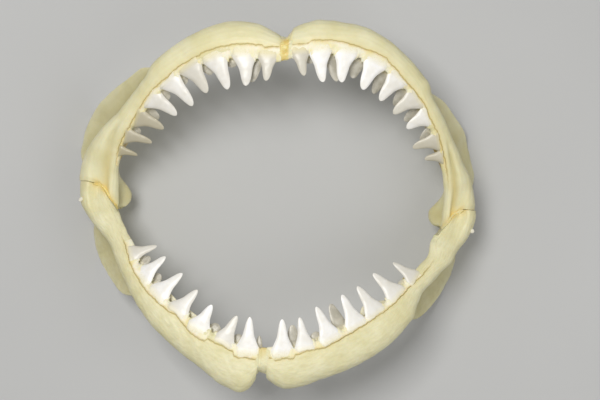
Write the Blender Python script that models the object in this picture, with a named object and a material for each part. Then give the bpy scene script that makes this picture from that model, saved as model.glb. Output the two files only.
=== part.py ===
"""Jaws of a great white shark, cleaned, dried and spread wide open, lying on their back.

+Z is the way the mouth gapes, +Y the upper jaw, -Y the lower jaw, and X = 0 the
plane through both symphyses. Each jaw is two cartilages with their own teeth. A pad of
ligament joins them at the front, and a curved seam at each corner of the mouth parts
the upper jaw from the lower. The jaws rest on the rims of their four muscle wings.
A place along an arch is an angle at the middle of the mouth, in degrees from the
symphysis. A distance is in millimetres, a radius counts from the middle of the mouth.
"""
import bpy
import bmesh
import numpy as np
from mathutils import Vector

MM = 0.001
MOUTH_MIDDLE = (2, 10.5)   # from the origin, which is below the middle of the whole
GAP = 0.3            # clearance between two pieces that touch
PAD = 8.0            # thickness of the ligament pad in each symphysis
RIGHT, LEFT = -1, 1  # the shark's own right lies at -X
BLADE = 9.0          # thickness of a muscle wing
RING_CUTS = 2        # points that a ring has from one section corner to the next
RING_PLACES = ((0, 0), (5, 14), (8, 44), (13, 72), (14, 78))   # ring numbers, and their angles
LAST_RING = 18       # stands at the end of the cartilage

# Each line below is one dimension along the arch, as (angle, millimetres).
UPPER = {
    "edge_radius": ((0, 184), (8, 186), (15, 193), (25, 204), (35, 212), (50, 219),
                    (62, 222), (75, 229), (82, 231), (90, 229), (99, 230)),
    "edge_height": ((0, 205), (20, 198), (40, 177), (60, 146), (75, 117), (85, 99),
                    (92, 91), (99, 86)),
    "bar_width": ((0, 38.5), (5, 46.5), (10, 53), (18, 52.5), (31, 46.2), (40, 40), (46, 37.1), (48, 36),
                  (52, 30.5), (56, 28.8), (62, 28.8), (68, 30.5), (74, 34.5), (82, 45), (90, 52), (99, 51)),
    "bar_depth": ((0, 46), (20, 44), (45, 40), (62, 40), (75, 47), (84, 60), (92, 66), (99, 46)),
    "seam_inset": ((0, 17), (15, 19), (30, 16), (45, 11), (60, 8), (78, 6), (99, 7)),
    "rim_radius": ((42, 252), (47, 257.5), (50, 260.5), (53, 266), (56, 272), (62, 282),
                   (67, 290.5), (71, 293.2), (79, 293.3), (83, 293), (88, 284.5), (99, 280)),
    "rim_height": ((42, 133), (50, 103), (56, 74), (62, 44), (67, 20), (70, 4), (72, -1),
                   (79, -1), (83, 10), (88, 28), (99, 44)),
    "hollow": ((44, 0), (54, 5), (64, 11), (73, 11), (82, 4), (90, 0)),
    "wing": ((40, 0), (41, 0), (46, 0.5), (51, 1), (52, 1)),
    "corner": ((78, 0), (79, 0), (85, 0.5), (91, 1), (92, 1)),
    "lobe": ((83.4, 0), (85, 3), (87, 8.5), (89.5, 14.5), (92, 18), (94, 17.5), (95.8, 13), (97.2, 3)),
}
LOWER = {
    "edge_radius": ((0, 199), (12, 196), (30, 193), (40, 195), (50, 200), (60, 205),
                    (68, 212), (73.5, 218.5), (78.5, 220.4), (83, 228), (90, 238), (96, 240)),
    "edge_height": ((0, 205), (20, 198), (40, 177), (60, 147), (75, 118), (85, 99),
                    (92, 90), (96, 86)),
    "bar_width": ((0, 39), (3, 54.3), (7, 62.4), (12, 61), (20, 55), (30, 54), (40, 51.5), (50, 44),
                  (53, 42), (58, 35), (64, 31), (70, 31), (74, 35.5), (80, 45.3), (84, 48.2), (90, 43),
                  (96, 38)),
    "bar_depth": ((0, 40), (5, 47), (20, 47), (45, 42), (62, 40), (75, 46), (84, 60), (96, 62)),
    "seam_inset": ((0, 15), (30, 14), (60, 12), (76, 7), (96, 6)),
    "rim_radius": ((44, 232), (50, 246), (54, 260), (60, 269), (65, 274.3), (70, 277),
                   (75, 275), (79, 271), (84, 272), (96, 276)),
    "rim_height": ((44, 128), (50, 98), (55, 67), (60, 38), (65, 14), (69, -1), (78, -1),
                   (81, 9), (85, 22), (96, 34)),
    "hollow": ((46, 0), (56, 8), (66, 14), (74, 10), (82, 0)),
    "wing": ((42, 0), (43, 0), (48.5, 0.5), (54, 1), (55, 1)),
    "corner": ((77, 0), (78, 0), (83, 0.5), (88, 1), (89, 1)),
    "lobe": ((0, 0), (96, 0)),
}
LOBE_LEAD = 1.2              # degrees by which the left lobe comes sooner and the right one later
UPPER_END = (98.3, 96.2)     # where the right and the left upper cartilage end
LOWER_END = (94.0, 94.0)

# The left half bows out this much more than the drawn mean, and the right half less.
UPPER_BOW = {
    "edge_radius": ((0, 2), (12, 6), (28, 10), (60, 9), (75, 6), (99, 7)),
    "bar_width": ((0, 3.2), (5, 2.5), (10, 0.9), (20, -3), (32, -2.2), (46, -3.2), (50, -1.6),
                  (54, -3), (66, -3), (78, -6), (90, -5.5), (99, -6)),
    "rim_radius": ((44, -1), (50, -1.2), (56, 2.3), (62, -0.4), (67, -2), (75, -4), (79, -2.6),
                   (83, -4.3), (99, 0)),
}
LOWER_BOW = {
    "edge_radius": ((0, 0), (40, 1), (60, 2), (68, 6.5), (73.5, 7.8),
                    (78.5, 3.6), (83, 2.3), (90, 5), (96, 4)),
    "bar_width": ((0, -2), (3, -5.7), (5, -6.2), (7, -4.6), (10, -3.2), (13, -2), (20, 1), (45, 5.5),
                  (53, 5.2), (58, 2), (64, -0.5), (70, -1.3), (80, -0.4), (90, -2.2), (96, -4)),
    "rim_radius": ((46, 5), (56, 4), (66, 2), (96, 0)),
}

# The seam between upper and lower jaw, seen from the front, as (X, Y) from the outside in.
SEAM = ((330, 4), (264, 4), (253, 1), (245, -8), (238, -18), (231, -26), (225, -34.5), (170, -34.5))
SEAM_BOW = 5.0       # the left seam's bend lies this much further out, the right one's further in
BEND = 260           # the seam's points inside this X belong to the bend
CUT = (-60, 260, 400)   # how far the block that cuts at a seam reaches: down, up and outwards
PAD_REACH = 10       # degrees over which rings fan out from the flat face beside the pad

# Front teeth: angle of the base, angle of the tip, radius of the tip, width of the root.
FRONT_TEETH = {
    ("upper", RIGHT): ((7.1, 8.5, 156, 28), (16.3, 18.6, 154, 34), (27.3, 27.7, 158, 35),
                       (37.1, 37.2, 168, 35), (46.1, 46.1, 167, 33), (55.3, 54.3, 175, 32),
                       (63.9, 62.6, 180, 29), (71.6, 70.3, 187, 24), (77.3, 77.2, 201, 17)),
    ("upper", LEFT): ((6.0, 9.4, 167, 26), (13.2, 18.4, 167, 32), (21.9, 25.8, 178, 34),
                      (32.4, 34.8, 187, 36), (41.6, 43.0, 193, 34), (50.4, 50.3, 197, 33),
                      (57.6, 57.8, 203, 31), (66.3, 65.7, 201, 28), (71.7, 71.1, 213, 20)),
    ("lower", RIGHT): ((5.9, 7.4, 161, 32), (15.2, 13.4, 164, 31), (26.0, 26.2, 165, 32),
                       (36.2, 35.9, 161, 32), (46.2, 46.8, 161, 32), (55.3, 57.8, 169, 30),
                       (64.3, 63.9, 175, 24)),
    ("lower", LEFT): ((7.4, 8.0, 161, 32), (15.9, 16.2, 162, 28), (26.1, 25.4, 155, 32),
                      (37.0, 39.3, 158, 32), (45.7, 47.5, 163, 32), (55.7, 56.9, 168, 31),
                      (64.4, 65.8, 184, 25)),
}
# Half-risen teeth that stand behind the gaps: base angle, tip angle, radius of the tip.
SECOND_TEETH = {
    ("upper", RIGHT): ((12.9, 15.6, 158), (21.5, 22.6, 184), (31.5, 31.5, 187), (42.0, 42.6, 196),
                       (51.0, 51.5, 198), (60.2, 60.0, 194), (68.5, 68.5, 208)),
    ("upper", LEFT): ((9.6, 11.2, 187), (17.8, 23.8, 177), (27.0, 28.7, 192), (37.0, 39.0, 194),
                      (46.3, 47.8, 205), (54.4, 54.8, 206), (62.6, 64.0, 215)),
    ("lower", RIGHT): ((10.6, 9.8, 188), (20.6, 19.7, 185), (31.2, 31.2, 196), (41.2, 41.2, 197),
                       (51.2, 52.3, 188), (60.0, 60.5, 190)),
    ("lower", LEFT): ((11.9, 12.3, 171), (21.0, 20.9, 187), (31.4, 32.2, 161), (41.3, 41.8, 201),
                      (50.8, 51.0, 203), (60.2, 60.4, 205)),
}
# Width of a crown's base in that of its root, and how round its sides are, 1 for straight.
CROWN = {"upper": (0.66, 0.52), "lower": (0.66, 0.88)}
FLARE_FROM, FLARE_TO = 0.45, -0.15   # stations between which it widens to its root
BLUNT = 0.20              # width of a crown's tip against its base
TOOTH_THICKNESS = 0.30    # against the width of the root
OUTLINE = ((-1, 0), (-0.5, 0.30), (0.5, 0.30), (1, 0), (0.5, -0.70), (-0.5, -0.70))
BASE_INSET = 5.0          # from the jaw's inner edge out to the line where crowns start
BASE_SHARE = 0.5          # but no more than this share of the gum's reach
BASE_DEPTH = 1.5          # that line below the front face
SLOPE_STEP = 2.0          # degrees to both sides over which the face's slope is taken
ROOT_SHORTEST = 4.0       # a root reaches out to the edge of the gum, but is at least this long
SECOND_INSET = 2.0
SECOND_DEPTH = 15.0       # how far the second row stands behind the first
SECOND_WIDTH = 25.0
SECOND_ROOT = 3.0
SECOND_CROWN = (0.92, 0.7)
THIRD_DEPTH = 15.0
THIRD_LENGTH = 27.0
THIRD_ROOT = 4.0
THIRD_WIDTH = 24.0
THIRD_INSET = 4.0
THIRD_LEAN = 1.5          # how much further out its tips lie
TIE_RADIUS = 3.4          # knots of the wire that ties each corner of the mouth
# Side, degrees below the corner of the mouth, and its middle out from and above the shoulder.
TIE_PLACE = ((RIGHT, 4.6, 0.8, 5.7), (LEFT, 5.2, 2.6, 2.6))


def clear_scene():
    """Removes whatever the scene held."""
    for old in list(bpy.data.objects):
        bpy.data.objects.remove(old, do_unlink=True)


def finish_material(name, colour, roughness):
    """A Principled material of one colour."""
    material = bpy.data.materials.new(name)
    material.use_nodes = True
    shader = material.node_tree.nodes["Principled BSDF"]
    shader.inputs["Base Color"].default_value = (*colour, 1.0)
    shader.inputs["Roughness"].default_value = roughness
    return material


def along(keys, angle):
    """Smooth curve through (angle, value) keys that swings past none of them. The slope at
    a key is the harmonic mean of the slopes on its two sides, and level at a peak."""
    at, value = np.array(keys, float).T
    chord = np.diff(value) / np.diff(at)
    before, after = chord[:-1], chord[1:]
    same_way = before * after > 0
    middle = np.where(same_way, 2 * before * after / np.where(same_way, before + after, 1), 0)
    slope = np.concatenate([chord[:1], middle, chord[-1:]])
    angle = np.clip(angle, at[0], at[-1])
    k = np.clip(np.searchsorted(at, angle, side="right") - 1, 0, len(at) - 2)
    span = at[k + 1] - at[k]
    t = (angle - at[k]) / span
    return ((2 * t**3 - 3 * t**2 + 1) * value[k] + (t**3 - 2 * t**2 + t) * span * slope[k]
            + (3 * t**2 - 2 * t**3) * value[k + 1] + (t**3 - t**2) * span * slope[k + 1])


def dimensions(jaw, bow, side, angle):
    """Every dimension of a jaw at these angles, with this side's share of its bow."""
    found = {name: along(keys, angle + side * LOBE_LEAD * (name == "lobe")) for name, keys in jaw.items()}
    for name, keys in bow.items():
        found[name] = found[name] + side * along(keys, angle)
    return found


def section_corners(d):
    """The twelve corners of each cross-section, as (radius, height).

    They run from the inside of the tooth edge over the front face and the outside to the
    back. A plain bar, a bar with a muscle wing and the corner of the mouth are blended."""
    r, z, w, h = d["edge_radius"], d["edge_height"], d["bar_width"], d["bar_depth"]
    inset, lobe, hollow = d["seam_inset"], d["lobe"], d["hollow"]
    rim_r, rim_z = d["rim_radius"], np.maximum(d["rim_height"], 0)

    def at(across, down):
        return np.stack([r + across, z - down], axis=-1)

    front = [at(0.05 * w, 0.30 * h), at(0 * w, 0.07 * h), at(inset, -0.03 * h)]
    bar = front + [at(0.58 * w, -0.02 * h), at(0.86 * w, 0.14 * h), at(w, 0.42 * h),
                   at(0.94 * w, 0.72 * h), at(0.74 * w, 0.93 * h), at(0.50 * w, h),
                   at(0.31 * w, 0.97 * h), at(0.17 * w, 0.82 * h), at(0.09 * w, 0.56 * h)]
    groove = at(0.88 * w, 0.80 * h)
    rim = np.stack([rim_r, rim_z], axis=-1)
    outer_face = 0.5 * (groove + rim) - np.stack([hollow, 0 * hollow], axis=-1)
    blade = np.stack([BLADE + 0 * hollow, 0 * hollow], axis=-1)
    wing = front + [at(0.56 * w, -0.02 * h), at(0.86 * w, 0.13 * h), at(w, 0.40 * h),
                    groove, outer_face, rim, rim - 0.75 * blade, outer_face - blade,
                    at(0.14 * w, 0.84 * h)]
    corner = [at(0.01 * w + 0.35 * lobe, 0.34 * h), at(0 * w, 0.12 * h), at(0.17 * w, 0 * h),
              at(0.42 * w, 0.10 * h), at(0.72 * w, 0.01 * h), at(0.96 * w, 0.20 * h),
              at(w, 0.48 * h), at(0.97 * w, 0.76 * h), at(0.80 * w, 0.96 * h),
              at(0.52 * w, h), at(0.20 * w, 0.96 * h), at(0.06 * w - lobe, 0.66 * h)]
    g, c = d["wing"][:, None, None], d["corner"][:, None, None]
    bar, wing, corner = (np.stack(kind, axis=1) for kind in (bar, wing, corner))
    return (bar * (1 - g) + wing * g) * (1 - c) + corner * c


def rounded(corners, cuts):
    """Closed rings through the corners: centripetal Catmull-Rom curves, cuts points a span."""
    p0, p1, p2, p3 = (np.roll(corners, shift, axis=1) for shift in (1, 0, -1, -2))

    def knot(a, b):
        return np.sqrt(np.linalg.norm(b - a, axis=-1, keepdims=True)) + 1e-9

    a, b, c = knot(p0, p1), knot(p1, p2), knot(p2, p3)
    leave = b * ((p1 - p0) / a - (p2 - p0) / (a + b) + (p2 - p1) / b)
    arrive = b * ((p2 - p1) / b - (p3 - p1) / (b + c) + (p3 - p2) / c)
    t = (np.arange(cuts) / cuts)[None, None, :, None]
    p1, p2, leave, arrive = (q[:, :, None, :] for q in (p1, p2, leave, arrive))
    curve = ((2 * t**3 - 3 * t**2 + 1) * p1 + (t**3 - 2 * t**2 + t) * leave
             + (3 * t**2 - 2 * t**3) * p2 + (t**3 - t**2) * arrive)
    return curve.reshape(len(corners), -1, 2)


def place(side, up, angle, radius, height):
    """World place in metres of a point given by arch angle, radius and height."""
    turn = np.radians(angle)
    return np.stack([side * radius * np.sin(turn), up * radius * np.cos(turn),
                     height + 0 * radius], axis=-1) * MM


def cartilage_rings(jaw, bow, side, up, end):
    """Rings of one jaw half from the symphysis to past the corner of the mouth. The first
    one lies in the flat end face beside the ligament pad, and none goes below the floor."""
    ring, stand = np.array(RING_PLACES + ((LAST_RING, end),), float).T
    angle = np.interp(np.arange(LAST_RING + 1), ring, stand)
    rings = rounded(section_corners(dimensions(jaw, bow, side, angle)), RING_CUTS)
    radius, height = rings[..., 0], np.maximum(rings[..., 1], 0)
    near_pad = np.clip(1 - angle / PAD_REACH, 0, 1)[:, None]
    pad_face = np.degrees(np.arcsin((PAD / 2 + GAP) / radius))
    return place(side, up, angle[:, None] + near_pad * pad_face, radius, height)


def closed_body(name, rings):
    """A closed body through the rings, flat at both ends."""
    shape = bmesh.new()
    loops = [[shape.verts.new(point) for point in ring] for ring in rings]
    around = len(loops[0])
    for one, two in zip(loops, loops[1:]):
        for k in range(around):
            n = (k + 1) % around
            shape.faces.new((one[k], one[n], two[n], two[k]))
    shape.faces.new(loops[0][::-1])
    shape.faces.new(loops[-1])
    bmesh.ops.recalc_face_normals(shape, faces=shape.faces)
    mesh = bpy.data.meshes.new(name)
    shape.to_mesh(mesh)
    shape.free()
    body = bpy.data.objects.new(name, mesh)
    bpy.context.collection.objects.link(body)
    return body


def as_guide(body):
    """Marks a body as one that only shapes another."""
    body.hide_render = True
    body.display_type = 'WIRE'
    return body


def tooth(name, base, tip, labial, width, root_length, crown, stations):
    """A tooth through six-sided rings, from the end of its root (station -1) past the base
    of its crown (0) to its blunt tip (1). It is flatter on the labial side. Its sides
    follow a power of what is left of the crown, and flare to the root by a smooth step."""
    axis = tip - base
    length = np.linalg.norm(axis)
    axis = axis / length
    labial = labial - axis * np.dot(labial, axis)
    labial = labial / np.linalg.norm(labial)
    across = np.cross(axis, labial)
    share, power = crown
    rings = []
    for v in stations:
        taper = BLUNT + (1 - BLUNT) * (1 - max(v, 0)) ** power
        step = np.clip((v - FLARE_FROM) / (FLARE_TO - FLARE_FROM), 0, 1)
        flare = (1 - share) * step**2 * (3 - 2 * step)
        centre = base + axis * (v * length if v > 0 else v * root_length * MM)
        half = 0.5 * width * (share * taper + flare) * MM
        thick = TOOTH_THICKNESS * width * taper * MM
        rings.append([centre + across * half * a + labial * thick * b for a, b in OUTLINE])
    return as_guide(closed_body(name, rings))


def front_face(jaw, bow, side, up, angle):
    """The dimensions at one angle, and the direction square to the front face there. The
    face slopes down towards the rear, and the direction is as long as that slope stretches."""
    d = {key: value[0] for key, value in dimensions(jaw, bow, side, np.array([float(angle)])).items()}
    near = dimensions(jaw, bow, side, angle + np.array([-SLOPE_STEP, SLOPE_STEP]))["edge_height"]
    slope = (near[1] - near[0]) / (d["edge_radius"] * np.radians(2 * SLOPE_STEP))
    turn = np.radians(angle)
    rearward = np.array([side * np.cos(turn), -up * np.sin(turn), 0])
    return d, np.array([0, 0, 1.0]) - slope * rearward


def tooth_rows(jaw_name, jaw, bow, side, up):
    """The front teeth of one jaw half, the half-risen row in their gaps, and the row that
    lies on the inner face of the cartilage with its tips towards the jaw's base."""
    teeth = []
    crown = CROWN[jaw_name]
    for n, (angle, tip_angle, tip_radius, width) in enumerate(FRONT_TEETH[jaw_name, side]):
        d, face = front_face(jaw, bow, side, up, angle)
        edge, height = d["edge_radius"], d["edge_height"]
        inset = min(BASE_INSET, BASE_SHARE * d["seam_inset"])
        base = place(side, up, angle, edge + inset, height - BASE_DEPTH)
        tip = place(side, up, tip_angle, tip_radius, height)
        root_length = max(d["seam_inset"] - inset, ROOT_SHORTEST)
        teeth.append(tooth(f"front_{n}", base, tip, face, width * np.linalg.norm(face), root_length,
                           crown, (-1, 0, 0.25, 0.6, 1)))
        inward = place(side, up, angle, -1.0, 0) / MM
        lying = place(side, up, angle, edge + THIRD_INSET, height - THIRD_DEPTH)
        lying_tip = lying - (THIRD_LENGTH * face / np.linalg.norm(face) + THIRD_LEAN * inward) * MM
        teeth.append(tooth(f"third_{n}", lying, lying_tip, inward, min(THIRD_WIDTH, width),
                           THIRD_ROOT, crown, (-1, 1)))
    for n, (angle, tip_angle, tip_radius) in enumerate(SECOND_TEETH[jaw_name, side]):
        d, face = front_face(jaw, bow, side, up, angle)
        edge, height = d["edge_radius"], d["edge_height"] - SECOND_DEPTH
        base = place(side, up, angle, edge + SECOND_INSET, height)
        tip = place(side, up, tip_angle, tip_radius, height)
        teeth.append(tooth(f"second_{n}", base, tip, face, SECOND_WIDTH, SECOND_ROOT, SECOND_CROWN,
                           (-1, 0.35, 1)))
    return teeth


def seam_guide(name, side, up):
    """A block whose wall follows the seam. It takes the other jaw's share off the end of a
    cartilage, and leaves half of the gap."""
    low, high, out = CUT
    wall = [(side * (x + side * SEAM_BOW * (x < BEND)), y + up * 0.5 * GAP) for x, y in SEAM]
    outline = wall + [(wall[-1][0], -up * out), (wall[0][0], -up * out)]
    rings = [[(x * MM, y * MM, z * MM) for x, y in outline] for z in (low, high)]
    return as_guide(closed_body(name, rings))


def add_boolean(piece, operation, guides):
    """A live Boolean with all of these guides at once."""
    group = bpy.data.collections.new(f"{piece.name}_{operation.lower()}")
    for guide in guides:
        group.objects.link(guide)
    boolean = piece.modifiers.new(operation.title(), 'BOOLEAN')
    boolean.operation = operation
    boolean.solver = 'EXACT'
    boolean.operand_type = 'COLLECTION'
    boolean.collection = group


def jaw_half(name, jaw_name, jaw, bow, side, up, end, material):
    """One cartilage, cut at the seam, with its teeth joined to it."""
    piece = closed_body(name, cartilage_rings(jaw, bow, side, up, end))
    piece.data.materials.append(material)
    add_boolean(piece, 'DIFFERENCE', [seam_guide(f"{name}_seam", side, up)])
    add_boolean(piece, 'UNION', tooth_rows(jaw_name, jaw, bow, side, up))
    return piece


def symphysis_pad(name, jaw, bow, up, material):
    """The ligament between two halves, with the mean section of their flat ends."""
    ring = rounded(section_corners(dimensions(jaw, bow, 0, np.array([0.0]))), RING_CUTS)[0]
    rings = [[(x * MM, up * r * MM, z * MM) for r, z in ring] for x in (-PAD / 2, PAD / 2)]
    pad = closed_body(name, rings)
    pad.data.materials.append(material)
    return pad


def corner_tie(name, side, below, out, above, material):
    """The knot of a wire tie, against the shoulder of the lower jaw below the seam."""
    shoulder = section_corners(dimensions(LOWER, LOWER_BOW, side, np.array([90.0 - below])))[0, 5]
    radius, height = shoulder + np.array([out, above])
    shape = bmesh.new()
    bmesh.ops.create_icosphere(shape, subdivisions=2, radius=TIE_RADIUS * MM)
    mesh = bpy.data.meshes.new(name)
    shape.to_mesh(mesh)
    shape.free()
    knot = bpy.data.objects.new(name, mesh)
    bpy.context.collection.objects.link(knot)
    knot.location = Vector(place(side, -1, 90.0 - below, radius, height))
    knot.data.materials.append(material)
    return knot


def move_to_origin():
    """Hangs every piece and guide on an empty at the middle of the mouth."""
    pieces = list(bpy.data.objects)
    middle = bpy.data.objects.new("mouth_middle", None)
    middle.location = (MOUTH_MIDDLE[0] * MM, MOUTH_MIDDLE[1] * MM, 0)
    bpy.context.collection.objects.link(middle)
    for piece in pieces:
        piece.parent = middle


def main():
    clear_scene()
    cartilage = finish_material("dried_cartilage", (0.76, 0.72, 0.50), 0.45)
    ligament = finish_material("dried_ligament", (0.70, 0.48, 0.14), 0.5)
    wire = finish_material("tie_wire", (0.80, 0.79, 0.74), 0.4)
    for side, side_name, end in ((RIGHT, "right", 0), (LEFT, "left", 1)):
        jaw_half(f"upper_jaw_{side_name}", "upper", UPPER, UPPER_BOW, side, 1,
                 UPPER_END[end], cartilage)
        jaw_half(f"lower_jaw_{side_name}", "lower", LOWER, LOWER_BOW, side, -1,
                 LOWER_END[end], cartilage)
    symphysis_pad("upper_symphysis", UPPER, UPPER_BOW, 1, ligament)
    symphysis_pad("lower_symphysis", LOWER, LOWER_BOW, -1, ligament)
    for side, below, out, above in TIE_PLACE:
        corner_tie(f"joint_tie_{'left' if side == LEFT else 'right'}", side, below, out, above, wire)
    move_to_origin()


main()
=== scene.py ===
"""Looks of a great white shark's dried jaws, spread wide open and lying on their back.

A place along an arch is an angle at the middle of the mouth, in degrees from the
symphysis, where the two halves of a jaw meet. Every length is in millimetres until a
mesh is made. +Z is the way the mouth gapes, +Y the upper jaw and -Y the lower jaw.
"""
import bpy
import numpy as np
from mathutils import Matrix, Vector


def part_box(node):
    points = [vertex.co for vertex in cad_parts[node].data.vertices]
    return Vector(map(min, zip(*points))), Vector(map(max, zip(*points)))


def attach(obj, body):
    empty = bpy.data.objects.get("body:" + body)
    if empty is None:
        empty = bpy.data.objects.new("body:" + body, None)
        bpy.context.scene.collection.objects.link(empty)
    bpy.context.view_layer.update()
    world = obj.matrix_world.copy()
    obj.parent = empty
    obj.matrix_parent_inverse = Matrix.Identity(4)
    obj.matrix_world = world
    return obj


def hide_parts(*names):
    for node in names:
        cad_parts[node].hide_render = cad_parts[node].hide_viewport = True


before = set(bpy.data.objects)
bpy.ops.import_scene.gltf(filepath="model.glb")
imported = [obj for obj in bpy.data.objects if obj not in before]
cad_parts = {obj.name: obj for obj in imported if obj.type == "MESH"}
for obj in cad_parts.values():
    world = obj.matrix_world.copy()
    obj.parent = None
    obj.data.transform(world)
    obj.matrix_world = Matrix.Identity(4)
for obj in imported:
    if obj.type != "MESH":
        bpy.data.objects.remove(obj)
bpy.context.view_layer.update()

# ---------------------------------------------------------------------------------------
# Jaw cartilages: the four halves of the jaws, which carry everything else. A shark has no
# bone: they are cartilage under a hard crust of tiny lime tiles, cleaned of flesh, soaked
# pale and air-dried. Each grew in one piece and shrank a little on drying.
# ---------------------------------------------------------------------------------------
MM = 0.001
MOUTH_MIDDLE = (2, 10.5)     # from the origin
GAP = 0.3                    # clearance between the two jaws at the corners of the mouth
PAD = 8.0                    # thickness of the ligament in each symphysis
RIGHT, LEFT = -1, 1          # the shark's own right lies at -X
JAW_UP = {"upper": 1, "lower": -1}
BLADE = 9.0                  # thickness of a muscle wing

# Each line is one dimension along the arch, as (angle, millimetres), or for wing and corner
# as (angle, share from 0 to 1). What shows in the photograph was fitted by hand to its
# outline, by differences that other scripts printed. Heights and depths are guessed.
UPPER = {
    "edge_radius": ((0, 184), (8, 186), (15, 193), (25, 204), (35, 212), (50, 219),
                    (62, 222), (75, 229), (82, 231), (90, 229), (99, 230)),
    "edge_height": ((0, 205), (20, 198), (40, 177), (60, 146), (75, 117), (85, 99),
                    (92, 91), (99, 86)),
    "bar_width": ((0, 38.5), (5, 46.5), (10, 53), (18, 52.5), (31, 46.2), (40, 40), (46, 37.1), (48, 36),
                  (52, 30.5), (56, 28.8), (62, 28.8), (68, 30.5), (74, 34.5), (82, 45), (90, 52), (99, 51)),
    "bar_depth": ((0, 46), (20, 44), (45, 40), (62, 40), (75, 47), (84, 60), (92, 66), (99, 46)),
    "seam_inset": ((0, 17), (15, 19), (30, 16), (45, 11), (60, 8), (78, 6), (99, 7)),
    "rim_radius": ((42, 252), (47, 257.5), (50, 260.5), (53, 266), (56, 272), (62, 282),
                   (67, 290.5), (71, 293.2), (79, 293.3), (83, 293), (88, 284.5), (99, 280)),
    "rim_height": ((42, 133), (50, 103), (56, 74), (62, 44), (67, 20), (70, 4), (72, -1),
                   (79, -1), (83, 10), (88, 28), (99, 44)),
    "hollow": ((44, 0), (54, 5), (64, 11), (73, 11), (82, 4), (90, 0)),
    "wing": ((40, 0), (41, 0), (46, 0.5), (51, 1), (52, 1)),
    "corner": ((78, 0), (79, 0), (85, 0.5), (91, 1), (92, 1)),
    "lobe": ((83.4, 0), (85, 3), (87, 8.5), (89.5, 14.5), (92, 18), (94, 17.5), (95.8, 13), (97.2, 3)),
}
LOWER = {
    "edge_radius": ((0, 199), (12, 196), (30, 193), (40, 195), (50, 200), (60, 205),
                    (68, 212), (73.5, 218.5), (78.5, 220.4), (83, 228), (90, 238), (96, 240)),
    "edge_height": ((0, 205), (20, 198), (40, 177), (60, 147), (75, 118), (85, 99),
                    (92, 90), (96, 86)),
    "bar_width": ((0, 39), (3, 54.3), (7, 62.4), (12, 61), (20, 55), (30, 54), (40, 51.5), (50, 44),
                  (53, 42), (58, 35), (64, 31), (70, 31), (74, 35.5), (80, 45.3), (84, 48.2), (90, 43),
                  (96, 38)),
    "bar_depth": ((0, 40), (5, 47), (20, 47), (45, 42), (62, 40), (75, 46), (84, 60), (96, 62)),
    "seam_inset": ((0, 15), (30, 14), (60, 12), (76, 7), (96, 6)),
    "rim_radius": ((44, 232), (50, 246), (54, 260), (60, 269), (65, 274.3), (70, 277),
                   (75, 275), (79, 271), (84, 272), (96, 276)),
    "rim_height": ((44, 128), (50, 98), (55, 67), (60, 38), (65, 14), (69, -1), (78, -1),
                   (81, 9), (85, 22), (96, 34)),
    "hollow": ((46, 0), (56, 8), (66, 14), (74, 10), (82, 0)),
    "wing": ((42, 0), (43, 0), (48.5, 0.5), (54, 1), (55, 1)),
    "corner": ((77, 0), (78, 0), (83, 0.5), (88, 1), (89, 1)),
    "lobe": ((0, 0), (96, 0)),
}
# The left half bows out this much more than the drawn mean, and the right half less.
UPPER_BOW = {
    "edge_radius": ((0, 2), (12, 6), (28, 10), (60, 9), (75, 6), (99, 7)),
    "bar_width": ((0, 3.2), (5, 2.5), (10, 0.9), (20, -3), (32, -2.2), (46, -3.2), (50, -1.6),
                  (54, -3), (66, -3), (78, -6), (90, -5.5), (99, -6)),
    "rim_radius": ((44, -1), (50, -1.2), (56, 2.3), (62, -0.4), (67, -2), (75, -4), (79, -2.6),
                   (83, -4.3), (99, 0)),
}
LOWER_BOW = {
    "edge_radius": ((0, 0), (40, 1), (60, 2), (68, 6.5), (73.5, 7.8),
                    (78.5, 3.6), (83, 2.3), (90, 5), (96, 4)),
    "bar_width": ((0, -2), (3, -5.7), (5, -6.2), (7, -4.6), (10, -3.2), (13, -2), (20, 1), (45, 5.5),
                  (53, 5.2), (58, 2), (64, -0.5), (70, -1.3), (80, -0.4), (90, -2.2), (96, -4)),
    "rim_radius": ((46, 5), (56, 4), (66, 2), (96, 0)),
}
DRAWN = {"upper": (UPPER, UPPER_BOW), "lower": (LOWER, LOWER_BOW)}
LOBE_LEAD = 1.2              # degrees by which the left lobe comes sooner and the right one later
# How far out from the tooth edge the crack between gum and cartilage runs, as (angle, mm).
# Its places were read off the photograph as pixels, turned into these units by another
# script, and then thinned out and rounded.
CRACK = {
    ("upper", RIGHT): ((0, 18), (8, 18), (9, 21), (15, 21), (19, 20.5), (28, 17.5), (31, 16), (33, 14),
                       (41, 12), (46, 9.5), (54, 10), (63, 7.5), (69, 4.5), (83, 2.5)),
    ("upper", LEFT): ((0, 16), (8, 18), (9, 22), (15, 21), (20, 18.5), (26, 15.5), (34, 17), (36, 14),
                      (39, 12.5), (45, 8.5), (53, 9), (59, 6.5), (64, 7.5), (71, 5), (80, 4)),
    ("lower", RIGHT): ((0, 15.5), (6, 17), (8, 19.5), (10, 19), (11, 14), (16, 12.5), (21, 13), (22, 17.5),
                       (26, 19), (31, 15.5), (36, 11.5), (40, 14), (50, 15), (59, 13.5), (69, 9.5), (74, 8)),
    ("lower", LEFT): ((0, 12.5), (3, 13), (4, 16), (8, 15), (11, 17), (12, 13), (17, 11.5), (23, 14.5),
                      (30, 13), (38, 12), (46, 11.5), (53, 12), (60, 11.5), (69, 10), (74, 8)),
}
# The seam between upper and lower jaw, seen from the front, as (X, Y) from the outside in.
SEAM = ((330, 4), (264, 4), (253, 1), (245, -8), (238, -18), (231, -26), (225, -34.5), (170, -34.5))
SEAM_BOW, BEND = 5.0, 260    # the left seam's bend, inside this X, lies this much further out
PAD_REACH = 10               # degrees over which rings fan out from the flat face beside the pad

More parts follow.
